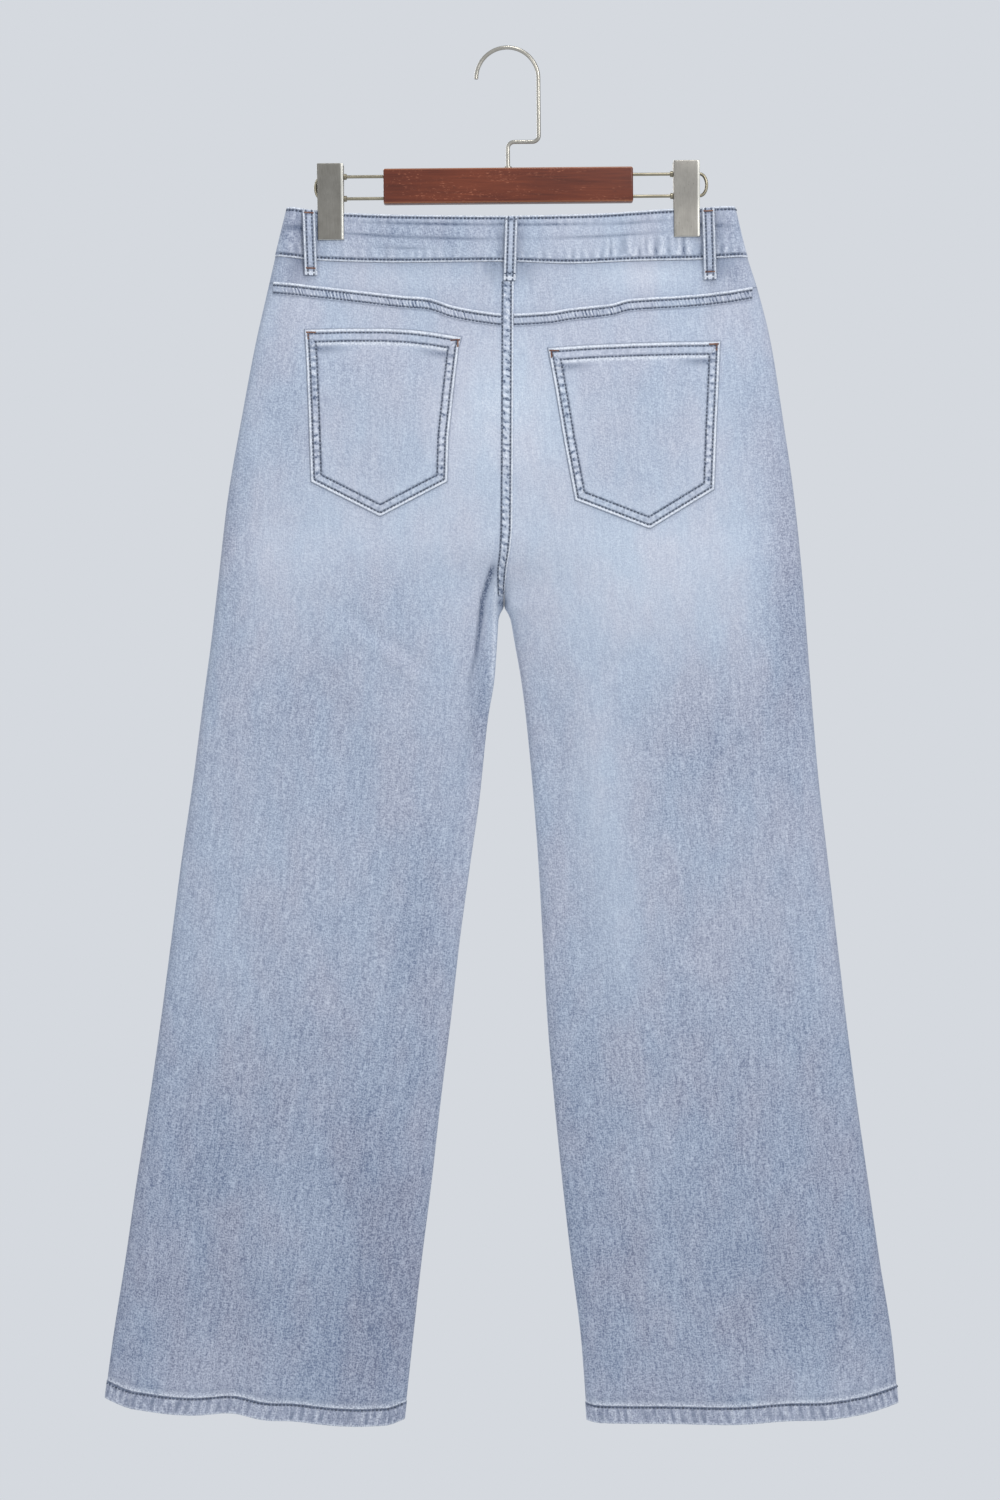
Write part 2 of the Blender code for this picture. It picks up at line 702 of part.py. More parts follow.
def wire(name, points, thickness, parent):
    curve = bpy.data.curves.new(name, "CURVE")
    curve.dimensions = "3D"
    curve.bevel_depth = thickness / 2
    curve.bevel_resolution = 2
    curve.use_fill_caps = True
    line = curve.splines.new("POLY")
    line.points.add(len(points) - 1)
    for target, point in zip(line.points, points):
        target.co = (*point, 1.0)
    return add_object(name, curve, "nickel", parent)


def hook(parent):
    """The hook's wire: up out of the bar, one step aside, and over in half a circle."""
    center = (0.0, HOOK_WIRE / 2 - HOOK_RADIUS)
    bar_top = BAR_CENTER + BAR_SIZE[2] / 2
    b = HOOK_BEND
    points = [(0.0, 0.0, bar_top - STEM_DEPTH + 0.001), (0.0, 0.0, bar_top)]
    points += arc((b, HOOK_SHELF - b), b, 180, 90, 5)
    points += arc((HOOK_RADIUS - b, HOOK_SHELF + b), b, -90, 0, 5)
    points += [(HOOK_RADIUS, 0.0, blend(HOOK_SHELF + b, center[1], t)) for t in (0.35, 0.7)]
    points += arc(center, HOOK_RADIUS, 0, 180, 18)
    return wire("hook", points, HOOK_WIRE, parent)


def rod(side, parent):
    """A wire bent back on itself: both ends in the bar, the bend just past the clip."""
    sign = SIGN[side]
    upper, lower = ROD_HEIGHTS
    radius = (upper - lower) / 2
    bend = ROD_ENDS[0 if side == "left" else 1] - sign * ROD_WIRE / 2
    start = sign * (BAR_SIZE[0] / 2 - ROD_DEPTH + 0.001)
    flat = radius * 0.62
    turn = [(bend - sign * flat * (1 - math.cos(a)), 0.0, (upper + lower) / 2 + radius * math.sin(a))
            for a in (math.radians(90 - 180 * t) for t in even(10))]
    points = [(start, 0.0, upper), *turn, (start, 0.0, lower)]
    return wire(f"rod_{side}", points, ROD_WIRE, parent)


def block(name, size, center, finish, parent):
    bm = bmesh.new()
    bmesh.ops.create_cube(bm, size=1.0)
    bmesh.ops.scale(bm, vec=size, verts=bm.verts)
    made = add_object(name, mesh_from(name, bm), finish, parent)
    made.location = center
    return made


def drill(target, name, radius, length, center, axis):
    """Cuts a round hole with a cylinder that lies along one axis."""
    bm = bmesh.new()
    bmesh.ops.create_cone(bm, cap_ends=True, segments=12, radius1=radius, radius2=radius,
                          depth=length)
    made = cutter(name, bm)
    made.parent = target.parent
    made.location = center
    made.rotation_euler = (0.0, math.radians(90), 0.0) if axis == "X" else (0.0, 0.0, 0.0)
    cut_with(target, made)


def bar(parent):
    made = block("bar", BAR_SIZE, (0.0, 0.0, BAR_CENTER), "walnut", parent)
    edge = made.modifiers.new("Rounded edges", "BEVEL")
    edge.width = BAR_ROUND
    edge.segments = 3
    over = 0.002
    top = BAR_CENTER + BAR_SIZE[2] / 2
    drill(made, "stem_bore", HOOK_WIRE / 2 + BORE_PLAY, STEM_DEPTH + over,
          (0.0, 0.0, top - (STEM_DEPTH - over) / 2), "Z")
    for side in SIDES:
        for name, z in zip(("upper", "lower"), ROD_HEIGHTS):
            middle = SIGN[side] * (BAR_SIZE[0] / 2 - (ROD_DEPTH - over) / 2)
            drill(made, f"rod_bore_{side}_{name}", ROD_WIRE / 2 + BORE_PLAY,
                  ROD_DEPTH + over, (middle, 0.0, z), "X")
    return made


def jaw_depth(z):
    """The inner face of a jaw: close on the cloth at its foot, and spread at its head."""
    foot = JAW_TOP - JAW_LENGTH
    return blend(JAW_GRIP, JAW_SPREAD, smooth(foot + JAW_STRAIGHT, JAW_TOP, z))


def jaw(side, face, place, parent):
    """One pressed plate of a clip, with flanges turned in above the cloth."""
    sign = FACE_SIGN[face]
    half = JAW_WIDTH / 2
    outer, inner = [], []
    for t in even(8):
        z = JAW_TOP - JAW_LENGTH * t
        lip = JAW_LIP + JAW_FLANGE * smooth(JAW_FLANGE_START, JAW_FLANGE_FULL, z)
        near, far = jaw_depth(z), jaw_depth(z) + JAW_WALL
        shape_out = ((-half, near - lip), (-half, far), (half, far), (half, near - lip))
        thick = half - JAW_WALL
        shape_in = ((-thick, near - lip), (-thick, near), (thick, near), (thick, near - lip))
        outer.append([Vector((place + x, sign * y, z)) for x, y in shape_out])
        inner.append([Vector((place + x, sign * y, z)) for x, y in shape_in])
    made = wall(f"clip_{side}_{face}_jaw", outer, inner, finish="nickel")
    made.parent = parent
    return made


def saddle(side, place, parent):
    """The block that rides on the two rods and spreads the jaws above it."""
    half = SADDLE_WIDTH / 2
    outer, inner = [], []
    for t in even(4):
        z = blend(SADDLE_TOP, SADDLE_END, t)
        depth = jaw_depth(z) - SEAM_GAP
        outer.append([Vector((place - half, -depth, z)), Vector((place + half, -depth, z))])
        inner.append([Vector((place - half, depth, z)), Vector((place + half, depth, z))])
    made = wall(f"clip_{side}_saddle", outer, inner, finish="nickel")
    made.parent = parent
    for name, z in zip(("upper", "lower"), ROD_HEIGHTS):
        drill(made, f"saddle_bore_{side}_{name}", ROD_WIRE / 2 + BORE_PLAY,
              SADDLE_WIDTH + 0.004, (place, 0.0, z), "X")
    return made


def hanger():
    frame = bpy.data.objects.new("hanger", None)
    jeans.objects.link(frame)
    frame.rotation_euler = (0.0, HANGER_TILT, 0.0)
    hook(frame)
    bar(frame)
    for side, place in zip(SIDES, CLIP_PLACES):
        rod(side, frame)
        saddle(side, place, frame)
        for face in ("back", "front"):
            jaw(side, face, place, frame)


def garment():
    yokes = {side: yoke(side) for side in SIDES}
    backs = {side: leg_panel(side, "back") for side in SIDES}
    fronts = {side: leg_panel(side, "front") for side in SIDES}
    band = waistband()
    whole_back = halves(yokes["left"], yokes["right"]) + halves(backs["left"], backs["right"])
    whole_front = halves(fronts["left"], fronts["right"])
    for side in SIDES:
        hem(side)
        yoke_band(side, yokes[side], backs[side])
        lay(f"pocket_back_{side}", "back", whole_back, within(POCKETS[side]), POCKET_WALL)
    lay("seat_seam", "back", whole_back, within(SEAT_BAND), SEAM_WALL)
    lay("fly", "front", whole_front, within(FLY), SEAM_WALL)
    cloth = tree_of((whole_back, whole_front, [row + row[:1] for row in band]))
    for row in LOOPS:
        belt_loop(cloth, dict(zip(LOOP_COLUMNS, row)))
    button(cloth)


for old in list(bpy.data.objects):
    bpy.data.objects.remove(old)
jeans = bpy.data.collections.new("jeans")
cutters = bpy.data.collections.new("cutters")
bpy.context.scene.collection.children.link(jeans)
bpy.context.scene.collection.children.link(cutters)
garment()
hanger()
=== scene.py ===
import json
import math

import bmesh
import bpy
import numpy as np
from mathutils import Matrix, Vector
from mathutils.bvhtree import BVHTree

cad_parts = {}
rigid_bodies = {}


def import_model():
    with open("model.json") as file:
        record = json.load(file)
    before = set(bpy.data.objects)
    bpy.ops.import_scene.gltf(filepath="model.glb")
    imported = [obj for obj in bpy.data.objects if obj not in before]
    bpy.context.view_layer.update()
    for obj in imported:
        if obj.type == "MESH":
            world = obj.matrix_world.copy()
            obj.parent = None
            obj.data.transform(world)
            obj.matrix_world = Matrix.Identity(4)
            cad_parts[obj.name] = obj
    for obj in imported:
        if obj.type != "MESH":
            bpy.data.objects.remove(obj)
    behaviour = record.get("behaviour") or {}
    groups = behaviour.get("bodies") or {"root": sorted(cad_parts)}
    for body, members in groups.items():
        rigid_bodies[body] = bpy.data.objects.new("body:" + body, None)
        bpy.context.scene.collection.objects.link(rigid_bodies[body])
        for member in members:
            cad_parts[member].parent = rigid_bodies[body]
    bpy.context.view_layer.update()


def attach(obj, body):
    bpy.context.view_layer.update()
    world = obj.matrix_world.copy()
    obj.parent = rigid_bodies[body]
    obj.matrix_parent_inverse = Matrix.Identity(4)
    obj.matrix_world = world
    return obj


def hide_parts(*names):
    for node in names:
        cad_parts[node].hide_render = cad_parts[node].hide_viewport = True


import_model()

# Pale wide-leg jeans on a two-clip hanger, seen from behind: the garment's back is towards -Y,
# and +X is the wearer's right. Each cloth solid of the frame is replaced by a finer shell.


# Numbers and curves

def smooth(low, high, at):
    t = np.clip((np.asarray(at, float) - low) / (high - low), 0.0, 1.0)
    return t * t * (3 - 2 * t)


def blend(a, b, t):
    return a + (b - a) * t


def bump(at, middle, spread):
    return np.exp(-((np.asarray(at, float) - middle) / spread) ** 2)


def fading(away, amount, reach):  # strongest at an edge and soon gone
    return amount * np.exp(-away / reach)


def ridge(at, amount, middle, spread):
    return amount * bump(at, middle, spread)


def upTo(away, flat):  # 0 on an edge, 1 from a little way in
    return np.minimum(away / flat, 1.0)


def curveThrough(rows):  # a smooth curve through (place, value) rows that never overshoots
    places, values = np.array(sorted(rows), float).T
    steps = np.diff(places)
    slopes = np.diff(values) / steps
    before, after = slopes[:-1], slopes[1:]
    agree = before * after > 0
    middle = np.where(agree, 2 * before * after / np.where(agree, before + after, 1.0), 0.0)
    tangents = np.concatenate([slopes[:1], middle, slopes[-1:]])

    def read(at):
        at = np.clip(np.asarray(at, float), places[0], places[-1])
        i = np.clip(np.searchsorted(places, at, side="right") - 1, 0, len(steps) - 1)
        t = (at - places[i]) / steps[i]
        riseIn, riseOut = tangents[i] * steps[i], tangents[i + 1] * steps[i]
        return (values[i] * (2 * t**3 - 3 * t**2 + 1) + riseIn * (t**3 - 2 * t**2 + t)
                + values[i + 1] * (3 * t**2 - 2 * t**3) + riseOut * (t**3 - t**2))

    return read


def ripples(seed, count, shortest, longest):  # an uneven wave of mixed lengths, from -1 to 1
    pick = np.random.default_rng(seed)
    lengths = pick.uniform(shortest, longest, count)
    phases = pick.uniform(0, 2 * math.pi, count)
    weights = pick.uniform(0.5, 1.0, count)

    def read(at):
        at = np.asarray(at, float)
        total = sum(w * np.sin(2 * math.pi * at / l + p)
                    for l, p, w in zip(lengths, phases, weights))
        return total / weights.sum() * 1.6

    return read


def lineAway(points, x, z):  # distance to a line of (across, height) points, and how far along it
    best = np.full(np.shape(x), 1e9)
    along = np.zeros(np.shape(x))
    run = 0.0
    for (ax, az), (bx, bz) in zip(points[:-1], points[1:]):
        dx, dz = bx - ax, bz - az
        length = math.hypot(dx, dz)
        t = np.clip(((x - ax) * dx + (z - az) * dz) / length**2, 0.0, 1.0)
        away = np.hypot(x - ax - t * dx, z - az - t * dz)
        along = np.where(away < best, run + t * length, along)
        best = np.minimum(best, away)
        run += length
    return best, along


# The garment's form

garment = {
    "cloth": 0.0015, "gap": 0.00004, "seamGap": 0.0003, "bandProud": 0.0006, "bandWall": 0.0024,
    "hemProud": 0.0005, "hemWall": 0.0032, "hemHeight": 0.0155, "hemLevel": -1.190,
    "flatness": 0.62, "crotch": -0.484, "crotchCurve": 0.075,
    "frontDip": 0.011, "frontDipReach": 0.150,
    "clips": (-0.1545, 0.1550), "pinch": 0.0026, "belly": {"back": 0.0085, "front": 0.0080},
    "lobe": 0.0042, "lobeSpread": 0.018, "waistRound": 0.007, "pinchHalf": 0.0135,
    "pinchEnd": -0.176, "pinchGone": -0.300,
    "leftHemDrop": 0.0040, "leftHemDropPlace": -0.262, "leftHemDropSpread": 0.026,
}
outlineRows = (  # height, left edge, right edge, depth behind, depth in front
    (-0.137, -0.191, 0.198, 0.010, 0.009), (-0.174, -0.200, 0.207, 0.013, 0.011),
    (-0.209, -0.208, 0.218, 0.015, 0.012), (-0.253, -0.218, 0.229, 0.018, 0.014),
    (-0.322, -0.231, 0.240, 0.022, 0.016), (-0.392, -0.243, 0.250, 0.024, 0.018),
    (-0.462, -0.251, 0.257, 0.025, 0.019), (-0.514, -0.257, 0.261, 0.024, 0.019),
    (-0.566, -0.264, 0.265, 0.022, 0.018), (-0.636, -0.273, 0.271, 0.020, 0.017),
    (-0.705, -0.283, 0.279, 0.019, 0.016), (-0.775, -0.292, 0.287, 0.018, 0.016),
    (-0.844, -0.301, 0.295, 0.018, 0.015), (-0.914, -0.311, 0.304, 0.017, 0.015),
    (-0.984, -0.322, 0.314, 0.017, 0.014), (-1.053, -0.332, 0.324, 0.016, 0.014),
    (-1.123, -0.343, 0.335, 0.015, 0.013), (-1.200, -0.353, 0.342, 0.015, 0.013),
)
insideRows = (  # height, inner edge of the left leg, inner edge of the right leg
    (-0.137, 0.0015, 0.0015), (-0.209, 0.0015, 0.0015), (-0.253, 0.0000, 0.0000),
    (-0.375, 0.0003, 0.0003), (-0.418, -0.0009, -0.0009), (-0.450, -0.0026, -0.0026),
    (-0.484, -0.0026, -0.0026), (-0.494, -0.0070, 0.0024), (-0.514, -0.0083, 0.0061),
    (-0.549, -0.0109, 0.0122), (-0.583, -0.0165, 0.0165), (-0.653, -0.0239, 0.0231),
    (-0.705, -0.0313, 0.0270), (-0.775, -0.0409, 0.0310), (-0.844, -0.0487, 0.0350),
    (-0.914, -0.0574, 0.0409), (-0.984, -0.0653, 0.0479), (-1.053, -0.0740, 0.0557),
    (-1.123, -0.0818, 0.0644), (-1.200, -0.0900, 0.0700),
)
outline = {name: curveThrough([(row[0], row[k]) for row in outlineRows])
           for k, name in enumerate(("left", "right", "back", "front"), start=1)}
inside = {name: curveThrough([(row[0], row[k]) for row in insideRows])
          for k, name in enumerate(("left", "right"), start=1)}

bandTop = curveThrough(((-0.192, -0.1375), (-0.141, -0.1422), (-0.076, -0.1449),
                        (-0.006, -0.1462), (0.072, -0.1440), (0.144, -0.1388),
                        (0.199, -0.1370)))
waistSeam = curveThrough(((-0.201, -0.1805), (-0.161, -0.1840), (-0.077, -0.1862),
                          (-0.004, -0.1860), (0.050, -0.1875), (0.114, -0.1844),
                          (0.168, -0.1831), (0.208, -0.1812)))
yokeSeam = curveThrough(((-0.207, -0.2035), (-0.172, -0.2066), (-0.133, -0.2110),
                         (-0.091, -0.2162), (-0.070, -0.2180), (-0.047, -0.2254),
                         (-0.023, -0.2300), (0.000, -0.2325), (0.037, -0.2305),
                         (0.055, -0.2275), (0.091, -0.2232), (0.106, -0.2190),
                         (0.157, -0.2154), (0.187, -0.2126), (0.217, -0.2076)))
hemLine = {
    "left": curveThrough(((-0.351, -1.1725), (-0.326, -1.1810), (-0.286, -1.1862),
                          (-0.238, -1.1862), (-0.198, -1.1928), (-0.132, -1.1962),
                          (-0.106, -1.1955), (-0.088, -1.1905))),
    "right": curveThrough(((0.068, -1.1915), (0.081, -1.1936), (0.185, -1.1946),
                           (0.265, -1.1915), (0.305, -1.1862), (0.341, -1.1767))),
}
# Where the hems rise a little out of their line: place across, spread and height
hemLifts = {"left": ((-0.300, 0.020, 0.0010), (-0.243, 0.018, 0.0024), (-0.186, 0.028, 0.0028)),
            "right": ((0.150, 0.045, 0.0014), (0.238, 0.028, 0.0018))}

# Soft folds: height of the ridge (a trough when negative), half its width, and its two ends
folds = {
    "back": (
        (-0.0062, 0.0090, -0.006, -0.440, -0.034, -0.670), (0.0034, 0.0060, 0.004, -0.440, -0.022, -0.670),
        (-0.0036, 0.0130, -0.030, -0.590, -0.050, -0.760), (0.0030, 0.0240, 0.072, -0.540, 0.118, -0.900),
        (-0.0026, 0.0220, 0.030, -0.500, 0.070, -0.780), (-0.0024, 0.0260, -0.180, -0.470, -0.120, -0.700),
        (0.0026, 0.0300, -0.150, -0.620, -0.210, -1.080), (-0.0022, 0.0240, -0.260, -0.760, -0.285, -1.170),
        (0.0030, 0.0180, -0.200, -1.000, -0.226, -1.260), (-0.0026, 0.0200, -0.120, -0.980, -0.160, -1.260),
        (-0.0024, 0.0240, 0.200, -0.640, 0.262, -1.050), (0.0028, 0.0260, 0.150, -0.860, 0.170, -1.260),
        (-0.0022, 0.0200, 0.235, -1.040, 0.262, -1.260),
    ),
    "front": (
        (-0.0045, 0.0140, 0.020, -0.450, 0.066, -0.640), (-0.0045, 0.0140, -0.022, -0.450, -0.070, -0.650),
        (0.0030, 0.0240, 0.120, -0.560, 0.160, -0.980), (0.0030, 0.0240, -0.130, -0.560, -0.190, -0.980),
        (-0.0026, 0.0220, 0.220, -0.760, 0.250, -1.240), (-0.0026, 0.0220, -0.250, -0.760, -0.280, -1.240),
        (0.0026, 0.0200, 0.130, -1.000, 0.140, -1.260), (0.0026, 0.0200, -0.150, -1.000, -0.170, -1.260),
    ),
}
# Lower creases that only the finer shells carry
creases = {
    "back": (
        (-0.0011, 0.0070, -0.168, -0.470, -0.040, -0.560), (0.0010, 0.0060, -0.150, -0.495, -0.060, -0.560),
        (-0.0010, 0.0065, 0.170, -0.480, 0.045, -0.575), (0.0009, 0.0060, 0.190, -0.510, 0.070, -0.600),
        (-0.0009, 0.0080, -0.232, -0.520, -0.130, -0.585), (0.0008, 0.0070, 0.236, -0.560, 0.150, -0.640),
        (-0.0009, 0.0110, -0.095, -0.660, -0.150, -0.905), (0.0010, 0.0095, -0.060, -0.740, -0.100, -1.010),
        (-0.0009, 0.0120, 0.100, -0.700, 0.150, -0.980), (0.0009, 0.0100, 0.215, -0.800, 0.240, -1.060),
        (-0.0010, 0.0090, 0.090, -0.930, 0.110, -1.190), (0.0009, 0.0110, -0.300, -0.900, -0.320, -1.190),
        (-0.0008, 0.0080, -0.175, -1.040, -0.190, -1.230), (0.0008, 0.0080, 0.290, -0.980, 0.310, -1.200),
        (-0.0007, 0.0060, -0.150, -0.232, -0.060, -0.243), (0.0006, 0.0060, 0.060, -0.240, 0.180, -0.228),
    ),
    "front": (
        (-0.0012, 0.0080, 0.180, -0.330, 0.040, -0.430), (-0.0012, 0.0080, -0.180, -0.330, -0.040, -0.430),
        (0.0010, 0.0070, 0.170, -0.360, 0.050, -0.450), (0.0010, 0.0070, -0.165, -0.370, -0.050, -0.455),
        (-0.0010, 0.0110, 0.140, -0.640, 0.190, -0.900), (-0.0010, 0.0110, -0.150, -0.660, -0.200, -0.900),
        (0.0009, 0.0090, 0.080, -0.760, 0.100, -1.050), (0.0009, 0.0090, -0.090, -0.780, -0.110, -1.050),
    ),
}
sign = {"left": -1, "right": 1}
faceSign = {"back": -1, "front": 1}
sides = ("left", "right")
clothFaces = ("back", "front")


def sectionTurn(z):  # half a turn round a leg, and a quarter turn from side seam to seat seam
    return math.pi * (1 - 0.5 * smooth(garment["crotch"],
                                       garment["crotch"] + garment["crotchCurve"], z))


def edges(side, z, inset):
    leg = 2 * sectionTurn(z) / math.pi - 1
    outer = outline[side](z) - sign[side] * inset
    inner = inside[side](z) + sign[side] * (garment["seamGap"] / 2 + inset * leg)
    return outer, inner


def foldHeight(face, x, z):
    total = np.zeros(np.broadcast(x, z).shape)
    for rise, spread, topX, topZ, endX, endZ in folds[face] + creases[face]:
        runX, runZ = endX - topX, endZ - topZ
        t = ((x - topX) * runX + (z - topZ) * runZ) / (runX**2 + runZ**2)
        away = np.hypot(x - topX - t * runX, z - topZ - t * runZ) / spread
        fade = np.sin(math.pi * np.clip(t, 0.0, 1.0)) ** 0.8
        total += rise * np.exp(-away * away) * fade
    return total


def waistDepth(face, x):
    low, high = garment["clips"]
    reach = (high - low) / 2 - garment["pinchHalf"]
    fromMiddle = np.abs(x - (low + high) / 2)
    t = np.clip(fromMiddle / reach, 0.0, 1.0)
    belly = garment["belly"][face] * (1 - t * t) ** 2
    past = np.clip((fromMiddle - reach - 2 * garment["pinchHalf"]) / garment["lobeSpread"], 0, 1)
    return garment["pinch"] + belly + garment["lobe"] * np.sin(past * math.pi / 2) ** 2


def halfDepth(side, face, x, z, inset=0.0):  # how far the cloth lies behind or before the middle
    outer, inner = edges(side, z, inset)
    share = np.clip((x - outer) / (inner - outer), 0.0, 1.0)
    turn = sectionTurn(z)
    angle = np.arccos(np.clip(1 - share * (1 - np.cos(turn)), -1.0, 1.0))
    roundOff = np.maximum(np.sin(angle), 0.0) ** garment["flatness"]
    body = (outline[face](z) - inset) * roundOff
    fromEdge = np.minimum(np.abs(x - outer) / garment["waistRound"], 1.0)
    waist = (waistDepth(face, x) - inset) * np.sqrt(1 - (1 - fromEdge) ** 2)
    opened = smooth(garment["pinchEnd"], garment["pinchGone"], z)
    folded = foldHeight(face, x, z) * np.minimum(1.0, 2 * roundOff) * opened
    return np.maximum(blend(waist, body, opened) + folded, 0.0)


def wholeDepth(face, x, z):  # the same for any place across
    middle = (inside["left"](z) + inside["right"](z)) / 2
    return np.where(x < middle, halfDepth("left", face, x, z), halfDepth("right", face, x, z))


def frontDip(face, x):
    return garment["frontDip"] * (1 - smooth(0.0, garment["frontDipReach"], np.abs(x))) \
        if face == "front" else 0.0


def hemEnd(side, face, x):
    drop = 0.0
    if (side, face) == ("left", "front"):
        drop = garment["leftHemDrop"] * bump(x, garment["leftHemDropPlace"],
                                             garment["leftHemDropSpread"])
    lift = sum(high * bump(x, place, spread) for place, spread, high in hemLifts[side])
    return hemLine[side](x) + lift - drop


# Colours and material nodes

def linear(hexColour):  # an sRGB hex value as linear light
    parts = [int(hexColour[k:k + 2], 16) / 255 for k in (1, 3, 5)]
    return (*[c / 12.92 if c <= 0.04045 else ((c + 0.055) / 1.055) ** 2.4 for c in parts], 1.0)


def addNode(tree, kind, inputs=(), out=0, stops=(), **settings):  # adds a node, gives its output
    made = tree.nodes.new(kind if kind.startswith(("Geometry", "Function")) else "ShaderNode" + kind)
    for key, value in settings.items():
        setattr(made, key, value)
    for key, value in dict(inputs).items():
        if isinstance(value, bpy.types.NodeSocket):
            tree.links.new(value, made.inputs[key])
        else:
            made.inputs[key].default_value = value
    for k, (place, colour) in enumerate(stops):
        points = made.color_ramp.elements
        point = points[k] if k < len(points) else points.new(place)
        point.position, point.color = place, linear(colour)
    return made.outputs[out] if made.outputs else made


def newMaterial(name, shader):
    made = bpy.data.materials.new(name)
    made.use_nodes = True
    tree = made.node_tree
    tree.nodes.clear()
    surface = tree.nodes.new("ShaderNodeBsdfPrincipled")
    finish = tree.nodes.new("ShaderNodeOutputMaterial")
    tree.links.new(surface.outputs[0], finish.inputs[0])
    for key, value in shader.items():
        surface.inputs[key].default_value = value
    return made, tree, surface


def grains(tree, coords, size, detail=2.0, rough=0.5, shift=(0.0, 0.0, 0.0)):
    # an uneven pattern whose marks are about one size, given in metres along each axis
    counted = addNode(tree, "Mapping", {0: coords, 1: shift, 3: tuple(1 / s for s in size)})
    return addNode(tree, "TexNoise", {"Vector": counted, "Scale": 1.0, "Detail": detail,
                                      "Roughness": rough})


# Denim: pale stone-washed cotton twill. The eye sees soft vertical slubs crossed by short weft
# flecks, dark and white specks, and a wash that is palest on the seat and upper thighs.
denimLook = {
    "blue": ((0.0, "#687690"), (0.20, "#8893a8"), (0.50, "#a5b0c2"), (0.80, "#bfcad8"),
             (1.0, "#dfe5ec")),
    "lilac": ((0.0, "#6d748a"), (0.20, "#8d93a6"), (0.50, "#aab0c0"), (0.80, "#c5cad6"),
              (1.0, "#e4e6ec")),
    "hueClouds": (0.034, 0.034, 0.080),
    "layers": (  # grain size across, down and through, detail, roughness, edge, amount
        ("grain", (0.0010, 0.0100, 1.0), 2.0, 0.60, 0.14, 0.19),  # slubs in the upright threads
        ("grain", (0.0042, 0.0012, 1.0), 1.5, 0.50, 0.12, 0.17),  # flecks along the weft
        ("solid", (0.0013, 0.0013, 0.0015), 1.0, 0.50, 0.09, 0.30),  # specks, coarser to show
        ("grain", (0.0032, 0.0320, 1.0), 2.0, 0.55, 0.20, 0.16),  # long upright wisps
        ("grain", (0.0130, 0.0700, 1.0), 2.0, 0.55, 0.36, 0.11)),  # broad streaks of the wash
    "contrast": (1.02, 0.45),  # how strongly the specks show, low on the legs and on the seat
    "twill": 0.0016,  # a real twill line is 0.7 mm apart: drawn coarser, to show
    "relief": {"slub": 0.00012, "speck": 0.00010, "twill": 0.00006, "row": 0.0006,
               "ridge": 0.0003, "gather": 0.0006},
    "whiteWearAndHighlightColour": "#dfe4ec", "shadeColour": "#536078",
    "inside": ("#a3acbd", "#c3c9d4"),
}


